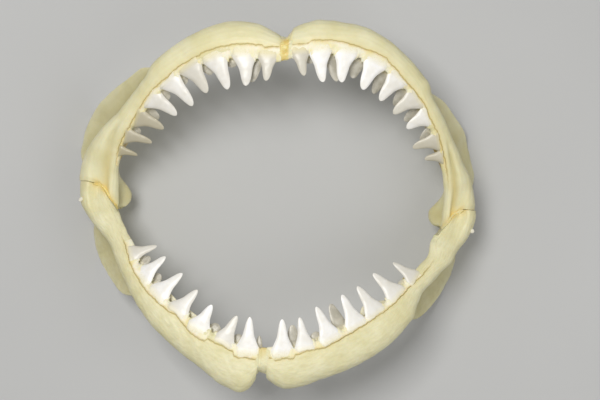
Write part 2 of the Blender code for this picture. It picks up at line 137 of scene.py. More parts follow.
# Front teeth: angle of the base, angle of the tip, radius of the tip, width of the root. The
# angles and radii were read off the photograph as pixels, and another script turned them
# into these units.
FRONT_TEETH = {
    ("upper", RIGHT): ((7.1, 8.5, 156, 28), (16.3, 18.6, 154, 34), (27.3, 27.7, 158, 35),
                       (37.1, 37.2, 168, 35), (46.1, 46.1, 167, 33), (55.3, 54.3, 175, 32),
                       (63.9, 62.6, 180, 29), (71.6, 70.3, 187, 24), (77.3, 77.2, 201, 17)),
    ("upper", LEFT): ((6.0, 9.4, 167, 26), (13.2, 18.4, 167, 32), (21.9, 25.8, 178, 34),
                      (32.4, 34.8, 187, 36), (41.6, 43.0, 193, 34), (50.4, 50.3, 197, 33),
                      (57.6, 57.8, 203, 31), (66.3, 65.7, 201, 28), (71.7, 71.1, 213, 20)),
    ("lower", RIGHT): ((5.9, 7.4, 161, 32), (15.2, 13.4, 164, 31), (26.0, 26.2, 165, 32),
                       (36.2, 35.9, 161, 32), (46.2, 46.8, 161, 32), (55.3, 57.8, 169, 30),
                       (64.3, 63.9, 175, 24)),
    ("lower", LEFT): ((7.4, 8.0, 161, 32), (15.9, 16.2, 162, 28), (26.1, 25.4, 155, 32),
                      (37.0, 39.3, 158, 32), (45.7, 47.5, 163, 32), (55.7, 56.9, 168, 31),
                      (64.4, 65.8, 184, 25)),
}
TOOTH_LINE = 205             # radius at which widths along the arch are turned into degrees
NOTCH_DEPTH, NOTCH_HALF = 4.5, 3.4   # the tooth edge draws in this much between two teeth
NOTCH_SHARE = 0.35           # but no more than this share of the gum's reach


def along(keys, angle):
    """Smooth curve through (angle, value) keys that swings past none of them: a cubic on
    each span, whose slope at a key is the harmonic mean of the chords beside it."""
    at, value = np.array(keys, float).T
    chord = np.diff(value) / np.diff(at)
    before, after = chord[:-1], chord[1:]
    same_way = before * after > 0
    middle = np.where(same_way, 2 * before * after / np.where(same_way, before + after, 1), 0)
    slope = np.concatenate([chord[:1], middle, chord[-1:]])
    angle = np.clip(angle, at[0], at[-1])
    k = np.clip(np.searchsorted(at, angle, side="right") - 1, 0, len(at) - 2)
    span = at[k + 1] - at[k]
    t = (angle - at[k]) / span
    return ((2 * t**3 - 3 * t**2 + 1) * value[k] + (t**3 - 2 * t**2 + t) * span * slope[k]
            + (3 * t**2 - 2 * t**3) * value[k + 1] + (t**3 - t**2) * span * slope[k + 1])


def dimensions(jaw_name, side, angle):
    """Every dimension of a jaw at these angles: its mean plus this side's share of its bow,
    and the notch between neighbouring teeth, a depth times 1 - x^4 across it."""
    mean, bow = DRAWN[jaw_name]
    found = {name: along(keys, angle + side * LOBE_LEAD * (name == "lobe")) for name, keys in mean.items()}
    for name, keys in bow.items():
        found[name] = found[name] + side * along(keys, angle)
    teeth = np.array(FRONT_TEETH[jaw_name, side], float)
    half = np.degrees(0.5 * teeth[:, 3] / TOOTH_LINE)
    gaps = 0.5 * (teeth[:-1, 0] + half[:-1] + teeth[1:, 0] - half[1:])
    off = (np.asarray(angle)[..., None] - gaps) / np.degrees(NOTCH_HALF / TOOTH_LINE)
    depth = np.minimum(NOTCH_DEPTH, NOTCH_SHARE * found["seam_inset"])
    found["notch"] = depth * (1 - np.clip(np.abs(off), 0, 1) ** 4).sum(axis=-1)
    return found


def section_corners(d):
    """The twelve corners of each cross-section, as (radius, height): from the inside of the
    tooth edge over the front face and the outside to the back. A plain bar, a bar with a
    muscle wing and the corner of the mouth are mixed by their weights."""
    r, z, w, h = d["edge_radius"], d["edge_height"], d["bar_width"], d["bar_depth"]
    inset, lobe, hollow, notch = d["seam_inset"], d["lobe"], d["hollow"], d["notch"]
    rim_r, rim_z = d["rim_radius"], np.maximum(d["rim_height"], 0)

    def at(across, down):
        return np.stack([r + across, z - down], axis=-1)

    front = [at(0.05 * w + 0.8 * notch, 0.30 * h), at(notch, 0.07 * h), at(inset, -0.03 * h)]
    bar = front + [at(0.58 * w, -0.02 * h), at(0.86 * w, 0.14 * h), at(w, 0.42 * h),
                   at(0.94 * w, 0.72 * h), at(0.74 * w, 0.93 * h), at(0.50 * w, h),
                   at(0.31 * w, 0.97 * h), at(0.17 * w, 0.82 * h), at(0.09 * w, 0.56 * h)]
    groove = at(0.88 * w, 0.80 * h)
    rim = np.stack([rim_r, rim_z], axis=-1)
    outer_face = 0.5 * (groove + rim) - np.stack([hollow, 0 * hollow], axis=-1)
    blade = np.stack([BLADE + 0 * hollow, 0 * hollow], axis=-1)
    wing = front + [at(0.56 * w, -0.02 * h), at(0.86 * w, 0.13 * h), at(w, 0.40 * h),
                    groove, outer_face, rim, rim - 0.75 * blade, outer_face - blade,
                    at(0.14 * w, 0.84 * h)]
    corner = [at(0.01 * w + 0.35 * lobe, 0.34 * h), at(0 * w, 0.12 * h), at(0.17 * w, 0 * h),
              at(0.42 * w, 0.10 * h), at(0.72 * w, 0.01 * h), at(0.96 * w, 0.20 * h),
              at(w, 0.48 * h), at(0.97 * w, 0.76 * h), at(0.80 * w, 0.96 * h),
              at(0.52 * w, h), at(0.20 * w, 0.96 * h), at(0.06 * w - lobe, 0.66 * h)]
    g, c = d["wing"][:, None, None], d["corner"][:, None, None]
    bar, wing, corner = (np.stack(kind, axis=1) for kind in (bar, wing, corner))
    return (bar * (1 - g) + wing * g) * (1 - c) + corner * c


def rounded(corners, station):
    """Points on the closed centripetal Catmull-Rom curve through each ring's corners. A
    station is a corner's number plus the fraction of the way to the next one."""
    p0, p1, p2, p3 = (np.roll(corners, shift, axis=1) for shift in (1, 0, -1, -2))

    def knot(a, b):
        return np.sqrt(np.linalg.norm(b - a, axis=-1, keepdims=True)) + 1e-9

    a, b, c = knot(p0, p1), knot(p1, p2), knot(p2, p3)
    leave = b * ((p1 - p0) / a - (p2 - p0) / (a + b) + (p2 - p1) / b)
    arrive = b * ((p2 - p1) / b - (p3 - p1) / (b + c) + (p3 - p2) / c)
    k = np.floor(station).astype(int) % corners.shape[1]
    t = (station % 1)[None, :, None]
    p1, p2, leave, arrive = p1[:, k], p2[:, k], leave[:, k], arrive[:, k]
    return ((2 * t**3 - 3 * t**2 + 1) * p1 + (t**3 - 2 * t**2 + t) * leave
            + (3 * t**2 - 2 * t**3) * p2 + (t**3 - t**2) * arrive)


def place(side, up, angle, radius, height):
    """Place in millimetres of a point given by arch angle, radius and height."""
    turn = np.radians(angle)
    return np.stack(np.broadcast_arrays(MOUTH_MIDDLE[0] + side * radius * np.sin(turn),
                                        MOUTH_MIDDLE[1] + up * radius * np.cos(turn), height), axis=-1)


def unit(vectors):
    """The same vectors at length one."""
    return vectors / np.maximum(np.linalg.norm(vectors, axis=-1, keepdims=True), 1e-12)


def facing(points):
    """+1 for each grid whose row-by-column normal points away from the middle of its rows."""
    normal = np.cross(np.gradient(points, axis=-3), np.roll(points, -1, axis=-2) - points)
    away = points - points.mean(axis=-2, keepdims=True)
    return np.where((normal * away).sum(axis=(-3, -2, -1)) > 0, 1, -1)


def grid_normals(points):
    """Outward normals of a grid whose columns close on themselves: the cross product of the
    steps along a row and along a column."""
    across = np.roll(points, -1, axis=-2) - np.roll(points, 1, axis=-2)
    return unit(np.cross(np.gradient(points, axis=-3), across)) * facing(points)


WAVE_COUNT = 12


def waves(points, spacing, seed, stretch=(1, 1, 1)):
    """Smooth unevenness about this many millimetres from hump to hump, mostly within +-1:
    a sum of plane waves in seeded directions with seeded starts."""
    draw = np.random.default_rng(seed)
    ways = unit(draw.normal(size=(WAVE_COUNT, 3))) / (spacing * draw.uniform(0.7, 1.5, (WAVE_COUNT, 1)))
    phase = draw.uniform(0, 2 * np.pi, WAVE_COUNT)
    total = sum(np.sin(2 * np.pi * (points / np.array(stretch) @ way) + start)
                for way, start in zip(ways, phase))
    return total / np.sqrt(WAVE_COUNT)


def skin(name, points, marks=(), bake_span=560.0, tiles=(1, 1)):
    """One mesh from grids of points in mm, shape (pieces, rows, columns, 3). Columns close
    on themselves, and triangles to a middle point close the first and the last row. The
    bake map, bake_span mm wide, unrolls each grid by its mean row and column lengths, one
    tile for each piece."""
    pieces, rows, cols = points.shape[:3]
    poles = np.stack([points[:, 0].mean(axis=1), points[:, -1].mean(axis=1)], axis=1)
    places = np.concatenate([points.reshape(pieces, -1, 3), poles], axis=1).reshape(-1, 3) * MM

    # Corners of each face as (row, column). Row -1 is the first middle point, row rows the last.
    row, col = (q.ravel() for q in np.meshgrid(np.arange(rows - 1), np.arange(cols), indexing="ij"))
    edge, top = np.arange(cols), np.zeros(cols, int)
    end = top + rows - 1
    quads = np.array([(row, col), (row + 1, col), (row + 1, col + 1), (row, col + 1)])
    fans = np.concatenate([np.array([(top, edge), (top, edge + 1), (top - 1, edge)]),
                           np.array([(end, edge + 1), (end, edge), (end + 1, edge)])], axis=2)

    def numbered(faces):
        in_grid = faces[:, 0] * cols + faces[:, 1] % cols
        return np.where(faces[:, 0] < 0, rows * cols, np.where(faces[:, 0] == rows, rows * cols + 1, in_grid))

    down = np.linalg.norm(np.diff(points, axis=1), axis=-1).mean(axis=(0, 2))
    round_it = np.linalg.norm(np.roll(points, -1, axis=2) - points, axis=-1).mean(axis=(0, 1))
    u_of = np.cumsum(np.concatenate([[0.5, 1.0], down, [1.0]]))
    v_of = np.cumsum(np.concatenate([[1.5], round_it]))
    cell = np.array([u_of[-1] + 1.5, v_of[-1] + 1.5])

    loops, maps = [], []
    for piece, outward in enumerate(facing(points)):
        shift = cell * (piece % tiles[0], piece // tiles[0])
        for faces in (quads, fans):
            faces = faces[::int(outward)]
            loops.append(numbered(faces).T.ravel() + piece * (rows * cols + 2))
            flat = np.stack([u_of[faces[:, 0] + 1], v_of[faces[:, 1]]], axis=-1) + shift
            maps.append(flat.transpose(1, 0, 2).reshape(-1, 2) / bake_span)
    sides = np.tile(np.repeat([4, 3], [quads.shape[2], fans.shape[2]]), pieces)

    mesh = bpy.data.meshes.new(name)
    mesh.vertices.add(len(places))
    mesh.vertices.foreach_set("co", places.ravel())
    mesh.loops.add(int(sides.sum()))
    mesh.loops.foreach_set("vertex_index", np.concatenate(loops).astype(np.int32))
    mesh.polygons.add(len(sides))
    mesh.polygons.foreach_set("loop_start", (np.cumsum(sides) - sides).astype(np.int32))
    mesh.update(calc_edges=True)
    mesh.uv_layers.new(name="OFBake").data.foreach_set("uv", np.concatenate(maps).ravel())
    for mark, values in dict(marks).items():
        values = np.broadcast_to(values, (pieces, rows, cols)).reshape(pieces, -1)
        ends = np.stack([values[:, :cols].mean(axis=1), values[:, -cols:].mean(axis=1)], axis=1)
        mesh.attributes.new(mark, 'FLOAT', 'POINT').data.foreach_set(
            "value", np.concatenate([values, ends], axis=1).ravel().astype(np.float32))
    mesh.shade_smooth()
    made = bpy.data.objects.new(name, mesh)
    bpy.context.collection.objects.link(made)
    return made


def finish(piece, material, slot, *nodes):
    """Dresses a piece: its material, the CAD nodes that it stands for, and its body. The slot argument is not
    used.
    """
    piece.data.materials.append(material)
    if nodes:
        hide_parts(*nodes)
    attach(piece, "root")


def linear(hex_code):
    """An sRGB colour such as "E6E0BC" as linear red, green, blue and full alpha."""
    shown = np.array([int(hex_code[k:k + 2], 16) for k in (0, 2, 4)]) / 255
    value = np.where(shown <= 0.04045, shown / 12.92, ((shown + 0.055) / 1.055) ** 2.4)
    return (*value.tolist(), 1.0)


def node(material, kind, inputs=None, **settings):
    """Adds one node. Settings are its own properties. Inputs maps the name or number of a
    socket to a value, or to the output of another node that feeds it."""
    made = material.node_tree.nodes.new(kind)
    for key, value in settings.items():
        setattr(made, key, value)
    for socket, value in (inputs or {}).items():
        if isinstance(value, bpy.types.NodeSocket):
            material.node_tree.links.new(value, made.inputs[socket])
        else:
            made.inputs[socket].default_value = value
    return made


def new_material(name, **numbers):
    """An empty Principled material and its shader, with these sockets set, _ for a space."""
    material = bpy.data.materials.new(name)
    material.use_nodes = True
    shader = material.node_tree.nodes["Principled BSDF"]
    for socket, value in numbers.items():
        shader.inputs[socket.replace("_", " ")].default_value = value
    return material, shader


def connect(material, shader, **outputs):
    """Feeds the shader's sockets, _ for a space, from the outputs of other nodes."""
    for socket, output in outputs.items():
        material.node_tree.links.new(output, shader.inputs[socket.replace("_", " ")])


def mottled(material, pattern, low, high, ground, fleck, most=1.0):
    """A ground colour that goes over to the fleck colour, by at most this share, as the
    pattern rises from low to high."""
    share = node(material, "ShaderNodeMapRange", {"Value": pattern, "From Min": low, "From Max": high,
                                                  "To Max": most})
    return node(material, "ShaderNodeMix", {0: share.outputs[0], 6: ground, 7: linear(fleck)},
                data_type='RGBA').outputs[2]


def stained(material, tone, *stains):
    """A tone with stains laid over it in turn, each as (mark on the mesh, strength, colour)."""
    for mark, strength, colour in stains:
        where = node(material, "ShaderNodeAttribute", attribute_name=mark)
        share = node(material, "ShaderNodeMath", {0: where.outputs["Fac"], 1: strength}, operation='MULTIPLY')
        tone = node(material, "ShaderNodeMix", {0: share.outputs[0], 6: tone, 7: linear(colour)},
                    data_type='RGBA', clamp_factor=True).outputs[2]
    return tone


# Columns of the skin in each span from one section corner to the next.
SPAN_COLUMNS = (12, 22, 28, 12, 12, 14, 20, 22, 6, 20, 18, 14)
CRACK_SPANS = {1: lambda t: 1 - (1 - t)**1.5, 2: lambda t: t**1.7}   # closer together at the crack
RING_STEP = 0.26            # degrees, about 1.1 mm along the arch
FINE_STEP = 0.08            # degrees between the rings that the skin is read from
STEADY = 80                 # rings are flat up to this angle, and lean to the seam past it
LEANING_ROWS = 70
LIP_ROUND = 0.5             # radius of the lips of the seam
PAD_ROUND = {"upper": 2.5, "lower": 3.5}   # and of those of the symphysis, more on its outside
PAD_OUTSIDE = {"upper": 5.5, "lower": 3.0}
LOBE_ROUND = 9.0            # radius of the free end inside the seam
CAP_ROWS = 9
CRACK_DEPTH, CRACK_HALF = {"upper": 0.9, "lower": 1.3}, 0.8   # furrow under the edge of the gum
CRACK_FROM, CRACK_TO = {"upper": 76, "lower": 68}, {"upper": 84, "lower": 74}   # where it fades out
TROUGH = ((64, 3.4), (72, 2.95), (80, 2.45), (92, 2.5))   # angle and station of the middle of the trough
TROUGH_HALF, TROUGH_DEPTH = 0.3, 2.2   # half its width in stations, and its depth
TROUGH_RIDGE = 1.7          # height of the ridge beside it
RIDGE_STEP = 7.5            # from one ridge along the bar to the next
RIDGES = {"upper": 0.09, "lower": 0.05}     # their height
WRINKLES = {"upper": 0.05, "lower": 0.16}   # height of the fine wrinkles
FAN_RIDGES = 0.06           # height of the ridges that fan out over a wing
CALM = 6                    # unevenness fades out over this distance from both ends


def seam_line(side, up, x):
    """Height Y of the wall that ends a cartilage at the seam, for X from the mouth's
    middle, in straight runs through the seam's points with half of the clearance."""
    run = np.array([(x0 + side * SEAM_BOW * (x0 < BEND), y0) for x0, y0 in SEAM][::-1])
    return np.interp(x, run[:, 0], run[:, 1]) + up * 0.5 * GAP


def seam_reach(jaw_name, side, angle):
    """Distance from the tooth edge out to the crack: the drawn one, plus a small bulge
    round the end of each root, (1 - x^6) times swell less notch times exp(-(x / 0.25)^2),
    x from -1 to 1 over the root."""
    bulge = 0 * angle
    swell, notch = {"upper": (0.9, 0.7), "lower": (0.7, 1.3)}[jaw_name]
    for centre, _, _, width in FRONT_TEETH[jaw_name, side]:
        x = np.clip((angle - centre) / np.degrees(0.5 * width / TOOTH_LINE), -1, 1)
        bulge = np.maximum(bulge, (1 - x**6) * (swell - notch * np.exp(-(x / 0.25) ** 2)))
    ragged = 0.22 * np.sin(angle * 3.3 + side) + 0.12 * np.sin(angle * 7.7)
    return along(CRACK[jaw_name, side], angle) + bulge + ragged


def cartilage(name, jaw_name, side, end, seed):
    """The skin of one jaw half, and the row of it that lies at the seam. Sections are swept
    along the arch, and each column stops where it meets the seam wall or the end plane.
    Unevenness, furrows and ridges then move the points along their normals, and shrinking
    rows close both ends."""
    up = JAW_UP[jaw_name]
    station = np.concatenate([span + CRACK_SPANS.get(span, lambda t: t)(np.arange(count) / count)
                              for span, count in enumerate(SPAN_COLUMNS)])
    fine = np.arange(0, end + FINE_STEP, FINE_STEP)
    d = dimensions(jaw_name, side, fine)
    rings = rounded(section_corners(d), station)
    near_pad = np.clip(1 - fine / PAD_REACH, 0, 1)[:, None]
    turn = np.radians(fine[:, None]) + near_pad * np.arcsin((PAD / 2 + GAP) / rings[..., 0])
    x, y = rings[..., 0] * np.sin(turn), up * rings[..., 0] * np.cos(turn)

    past = (up * (y - seam_line(side, up, x)) < 0) & (fine[:, None] > STEADY)
    free = ~past.any(axis=0)
    stop = np.where(free, len(fine) - 1, past.argmax(axis=0) - 0.5)
    steady = np.arange(0, STEADY, RING_STEP) / FINE_STEP
    lean = np.linspace(0, 1, LEANING_ROWS + 1)[1:, None] ** 0.9
    row = np.concatenate([np.repeat(steady[:, None], len(station), axis=1),
                          steady[-1] + lean * (stop - steady[-1])])
    low = np.minimum(row.astype(int), len(fine) - 2)
    part = row - low
    column = np.arange(len(station))[None, :]

    def resampled(field):
        field = np.broadcast_to(field, rings.shape[:2])
        return field[low, column] * (1 - part) + field[low + 1, column] * part

    points = np.stack([side * resampled(x), resampled(y), resampled(rings[..., 1])], axis=-1)
    normal = grid_normals(points)
    angle = resampled(fine[:, None])
    reach = resampled(rings[..., 0] - d["edge_radius"][:, None])
    wing = resampled((d["wing"] * (1 - d["corner"]))[:, None])

    start, over = CRACK_FROM[jaw_name], CRACK_TO[jaw_name]
    fade = np.clip((over - angle) / (over - start), 0, 1) * ((station > 1.02) & (station < 4))
    off_crack = reach - seam_reach(jaw_name, side, angle) - 0.4
    furrow = np.exp(-(off_crack / CRACK_HALF) ** 2) * fade
    # beside the upper condyle, a trough on the inner side of the ridge that ends at the joint
    off_groove = station - np.interp(angle, *np.transpose(TROUGH))
    on_ridge = np.clip((angle - 66) / 6, 0, 1) * (jaw_name == "upper")
    second_groove = np.exp(-(off_groove / TROUGH_HALF) ** 2) * on_ridge
    ridge = np.clip(off_groove / 0.6, 0, 1) * np.clip((5.8 - station) / 0.8, 0, 1) * on_ridge
    girth = np.concatenate([[0], np.cumsum(np.linalg.norm(np.diff(points[100], axis=0), axis=-1))])
    ridged = np.sin(girth / RIDGE_STEP * 2 * np.pi + 1.2 * np.sin(np.radians(angle) * 9 + seed)
                    + 1.5 * waves(points, 90, seed + 7))
    fan = np.sin(angle * 2.9 + 1.1 * waves(points, 40, seed + 8)) * wing
    on_wing = (station > 6.2) & (station < 11)
    spun = np.stack([np.radians(angle) * 240, girth + 0 * angle, 0 * angle], axis=-1)
    wrinkles = waves(spun, 3.6, seed + 2, (3.2, 1, 1)) * WRINKLES[jaw_name]
    height = (0.7 * waves(points, 70, seed) + 0.28 * waves(points, 24, seed + 1)
              + RIDGES[jaw_name] * ridged * (1 - on_wing) + FAN_RIDGES * fan * on_wing + wrinkles
              - 0.4 * np.clip(waves(points, 16, seed + 3) - 1.1, 0, 1)
              - CRACK_DEPTH[jaw_name] * furrow - TROUGH_DEPTH * second_groove + TROUGH_RIDGE * ridge)

    steps = np.linalg.norm(np.diff(points, axis=0), axis=-1)
    to_end = np.concatenate([np.cumsum(steps[::-1], axis=0)[::-1], 0 * steps[:1]])
    to_start = np.concatenate([0 * steps[:1], np.cumsum(steps, axis=0)])
    calm = np.clip(np.minimum(to_end, to_start) / CALM, 0, 1)
    roll_off = 0 * height
    outside = np.clip((station - 3.2) / 1.2, 0, 1) * np.clip(10 - station, 0, 1)
    at_pad_bend = PAD_ROUND[jaw_name] + PAD_OUTSIDE[jaw_name] * outside
    for run, bend in ((to_end, np.where(free, LOBE_ROUND, LIP_ROUND)), (to_start, at_pad_bend)):
        left = np.clip(1 - run / bend, 0, 1)
        roll_off = roll_off + bend * (1 - np.sqrt(1 - left**2))
    points = points + normal * (height * calm - 0.85 * roll_off)[..., None]

    first, last = points[0], points[-1]
    shrink = 1 - np.linspace(0, 0.985, CAP_ROWS + 1)[1:, None, None]
    far_cap = last.mean(axis=0) + (last - last.mean(axis=0)) * shrink
    reach_x = np.abs(far_cap[..., 0])
    wall = np.maximum(up * seam_line(side, up, reach_x), reach_x / np.tan(np.radians(end)))
    far_cap[..., 1] = up * wall
    near_cap = first.mean(axis=0) + (first - first.mean(axis=0)) * shrink[::-1]
    near_cap[..., 0] = side * (PAD / 2 + GAP)
    points = np.concatenate([near_cap, points, far_cap])
    points[..., 2] = np.maximum(points[..., 2], 0)
    points[..., :2] += MOUTH_MIDDLE

    halo = np.exp(-np.abs(off_crack) / 3.5) * fade
    in_front = np.clip((3.9 - station) / 0.6, 0.15, 1) * (station > 0.5)
    joint = np.exp(-(to_end / 8) ** 1.5) * np.clip((angle - 84) / 4, 0, 1) * ~free * in_front
    at_pad = np.exp(-(to_start / 4) ** 2) * (station > 0.5) * (station < 4.4)
    halo_share, crack_share, pad_share = {"upper": (0.5, 0.7, 0.35), "lower": (0.3, 0.75, 0.15)}[jaw_name]
    oily = 0.35 * second_groove * np.clip((angle - 74) / 8, 0, 1)
    amber = halo_share * halo + 0.95 * joint + oily + pad_share * at_pad
    lobe = resampled(d["lobe"][:, None]) / 18 * ((station > 10.3) | (station < 0.7))
    # painted shade, partly also the olive of old flesh: darker in the wing's groove, in the trough beside the
    # condyle (more on the left half, which lies away from the light) and along the crease by the lobe
    hollow_stain_and_shade = (np.clip(1.15 - np.abs(station - 6.3) / 1.5, 0, 1) * wing * (station < 8)
             + (0.45 + 0.15 * side) * second_groove + 0.5 * lobe)
    # painted shade: a dark line along the seam's gap between the jaws; with it, the dark line in the crack's
    # furrow, partly dirt and partly painted shade
    seam_gap_shade = 0.35 * np.exp(-to_end / 0.5) * ~free * (station > 3.4)
    marks = {"amber": amber, "crack": crack_share * furrow + seam_gap_shade, "fossa_stain_and_shade": hollow_stain_and_shade}
    marks = {mark: np.concatenate([np.repeat(field[:1], CAP_ROWS, axis=0), field,
                                   np.repeat(field[-1:], CAP_ROWS, axis=0)])[None].clip(0, 1)
             for mark, field in marks.items()}
    seam_row = last + np.array([*MOUTH_MIDDLE, 0])
    return skin(name, points[None], marks), seam_row, normal[-1], station


def cartilage_material(name, grain, streak, tile_bump, seed):
    """Lime-crusted cartilage, soaked pale and air-dried: satin and slightly see-through, so
    it looks soft in the shade. Faint streaks run along the arch, blotches tell where flesh
    sat longest, and the crust's tiny tiles dull the gloss. Where two pieces meet it has
    taken up oil and gone amber."""
    material, shader = new_material(name, IOR=1.48, Subsurface_Weight=0.12, Subsurface_Scale=0.003,
                                    Subsurface_Radius=(1.0, 0.7, 0.35))
    spot = node(material, "ShaderNodeTexCoord").outputs["Object"]
    unrolled = node(material, "ShaderNodeUVMap", uv_map="OFBake").outputs["UV"]
    # streaks along the arch: the map's width, 560 mm on a jaw half, over the scale is their size
    lengthwise = node(material, "ShaderNodeMapping", {"Vector": unrolled, "Scale": (*grain, 1)})
    streaks = node(material, "ShaderNodeTexNoise", {"Vector": lengthwise.outputs[0], "Scale": 1.0,
                                                    "Detail": 4.0, "Roughness": 0.6})
    # blotches about 35 mm across
    blotches = node(material, "ShaderNodeTexNoise", {"Vector": spot, "Scale": 28.0 + seed,
                                                     "Detail": 3.0, "Roughness": 0.55})
    # lime tiles are about 1 mm: drawn 1.6 mm across, to show
    tiles = node(material, "ShaderNodeTexVoronoi", {"Vector": spot, "Scale": 620.0})
    grit = node(material, "ShaderNodeTexNoise", {"Vector": spot, "Scale": 900.0, "Detail": 2.0})

    body = mottled(material, blotches.outputs["Fac"], 0.35, 0.65, linear("DFD9AC"), "EAE6C2")
    lined = mottled(material, streaks.outputs["Fac"], 0.42, 0.68, body, "CFC796", streak)
    patchy = node(material, "ShaderNodeMapRange", {"Value": blotches.outputs["Fac"], "From Min": 0.3,
                                                   "From Max": 0.6, "To Min": 0.55})
    # the olive of old flesh in the hollows, partly painted shade of the wing's groove, the trough and the
    # crease by the lobe; oil in patches; and a dark line in the crack, partly dirt and partly painted shade
    # of its furrow and of the seam's gap
    tone = stained(material, lined, ("fossa_stain_and_shade", 0.95, "AFA469"), ("amber", patchy.outputs[0], "E0C675"),
                   ("crack", 0.8, "9A8438"))

    gloss = node(material, "ShaderNodeMapRange", {"Value": streaks.outputs["Fac"], "From Min": 0.3,
                                                  "From Max": 0.7, "To Min": 0.42, "To Max": 0.58})
    crust = node(material, "ShaderNodeBump", {"Height": tiles.outputs["Distance"], "Strength": tile_bump,
                                              "Distance": 0.00025})
    fibre = node(material, "ShaderNodeBump", {"Height": streaks.outputs["Fac"], "Strength": streak,
                                              "Distance": 0.0008, "Normal": crust.outputs[0]})
    sanded = node(material, "ShaderNodeBump", {"Height": grit.outputs["Fac"], "Strength": tile_bump,
                                               "Distance": 0.0002, "Normal": fibre.outputs[0]})
    connect(material, shader, Base_Color=tone, Roughness=gloss.outputs[0], Normal=sanded.outputs[0])
    return material


# Node, jaw, side, and the angle that the half reaches to.
HALVES = (("upper_jaw_right", "upper", RIGHT, 98.3), ("upper_jaw_left", "upper", LEFT, 96.2),
          ("lower_jaw_right", "lower", RIGHT, 94.0), ("lower_jaw_left", "lower", LEFT, 94.0))
crust = {"upper": cartilage_material("cartilage_dried_smooth", (12, 130), 0.16, 0.2, 0),
         "lower": cartilage_material("cartilage_dried_grainy", (50, 170), 0.42, 0.5, 2)}
seam_rows = {}
for number, (half_name, jaw_name, side, end) in enumerate(HALVES):
    piece, *seam_rows[jaw_name, side] = cartilage(f"{half_name}_cartilage", jaw_name, side, end,
                                                  10 * number + 3)
    finish(piece, crust[jaw_name], "dried_cartilage", half_name)

# ---------------------------------------------------------------------------------------
# Ligaments: a band of tough tissue ties the two halves of each jaw at the front, and a
# capsule closes each corner of the mouth. They dried amber and lumpy, shrunk tight over and
# between the cartilages that they join.
# ---------------------------------------------------------------------------------------
PAD_ROWS, PAD_COLUMNS = 26, 220
PAD_SPILL = 5.0              # how far its edges creep over each half
PAD_DIP = 6.5                # how far its outer side is drawn in between the bulges
PAD_LOWEST = -0.3            # where across it, from -1 to 1
CAPSULE_ROWS, CAPSULE_COLUMNS = 90, 20
CAPSULE_FROM, CAPSULE_TO = 0.75, 3.55     # stations
CAPSULE_WIDTH, CAPSULE_DEPTH = 3.9, 1.4   # half sizes
CAPSULE_RISE, CAPSULE_SHIFT = 0.4, 1.0    # its middle above the lip, and from there to the lower jaw


def ligament_pad(name, jaw_name, seed):
    """The section of the right half mixed into that of the left one across the symphysis,
    from u = -1 to 1, drawn in on its outer side in straight slopes to its lowest place, with
    lumps and with fibres that cross from half to half. In the lower jaw it fills up to the
    left half and leaves a crease beside the right one. The amber mark is strong on the
    tooth edge and, in the upper jaw, along the front face."""
    station = np.arange(PAD_COLUMNS) / PAD_COLUMNS * 12
    right, left = (rounded(section_corners(dimensions(jaw_name, side, np.array([0.0]))), station)[0]
                   for side in (RIGHT, LEFT))
    u = np.sin(np.linspace(-1, 1, PAD_ROWS) * np.pi / 2)[:, None]
    ring = right + 0.5 * (1 + u[..., None]) * (left - right)
    x = u * (PAD / 2 + PAD_SPILL) + 0 * ring[..., 0]
    points = np.stack([x, JAW_UP[jaw_name] * ring[..., 0], ring[..., 1]], axis=-1)
    lumps = 0.40 * waves(points, 9, seed) + 0.22 * waves(points, 3.2, seed + 1)
    fibres = 0.12 * waves(points, 2.0, seed + 2, (3, 1, 1))
    outer = np.clip((station - 3.2) / 1.2, 0, 1) * np.clip(10 - station, 0, 1)
    dip = PAD_DIP * np.interp(u, (-1, PAD_LOWEST, 1), (0, 1, 0))
    rise = (lumps + fibres) * (1 - u**8) - 1.2 * u**8 - dip * outer
    if jaw_name == "lower":
        rise = rise - 0.5 * (lumps + fibres) - 1.8 * np.exp(-((u + 0.38) / 0.16) ** 2) * (1 - outer)
    points = points + grid_normals(points) * rise[..., None]
    points[..., :2] += MOUTH_MIDDLE
    reach = {"upper": 4.2, "lower": 2.0}[jaw_name]
    amber = ((np.clip(reach - station, 0, 1) + np.clip(station - 11, 0, 1))
             * np.clip((0.82 - np.abs(u + 0.22)) / 0.25, 0, 1))
    return skin(name, points[None], {"amber": amber[None].clip(0, 1), "crack": 0 * amber[None],
                                     "fossa_stain_and_shade": 0 * amber[None]}, 190.0)


def capsule(name, side, seed):
    """A flat tube along the front of the seam, over the inner part of the upper jaw's last
    row, and thinner at its ends."""
    row, normal, station = seam_rows["upper", side]
    at = np.linspace(CAPSULE_FROM, CAPSULE_TO, CAPSULE_ROWS)
    path = np.stack([np.interp(at, station, row[:, k]) for k in range(3)], axis=-1)
    out = unit(np.stack([np.interp(at, station, normal[:, k]) for k in range(3)], axis=-1))
    over = unit(np.cross(np.gradient(path, axis=0), out))
    over *= -np.sign(over[:, 1:2])
    turn = 2 * np.pi * np.arange(CAPSULE_COLUMNS)[None, :, None] / CAPSULE_COLUMNS
    swell = 1 - np.abs(np.linspace(-1, 1, CAPSULE_ROWS))[:, None, None] ** 3
    lumps = 1 + 0.16 * waves(path, 6, seed)[:, None, None]
    points = (path[:, None] + CAPSULE_RISE * out[:, None] + CAPSULE_SHIFT * over[:, None]
              + (CAPSULE_WIDTH * np.cos(turn) * over[:, None] + CAPSULE_DEPTH * np.sin(turn) * out[:, None])
              * (0.1 + 0.9 * swell) * lumps)
    amber = 0.75 - 0.25 * side + np.zeros((1, CAPSULE_ROWS, CAPSULE_COLUMNS))
    return skin(name, points[None], {"amber": amber}, 80.0)


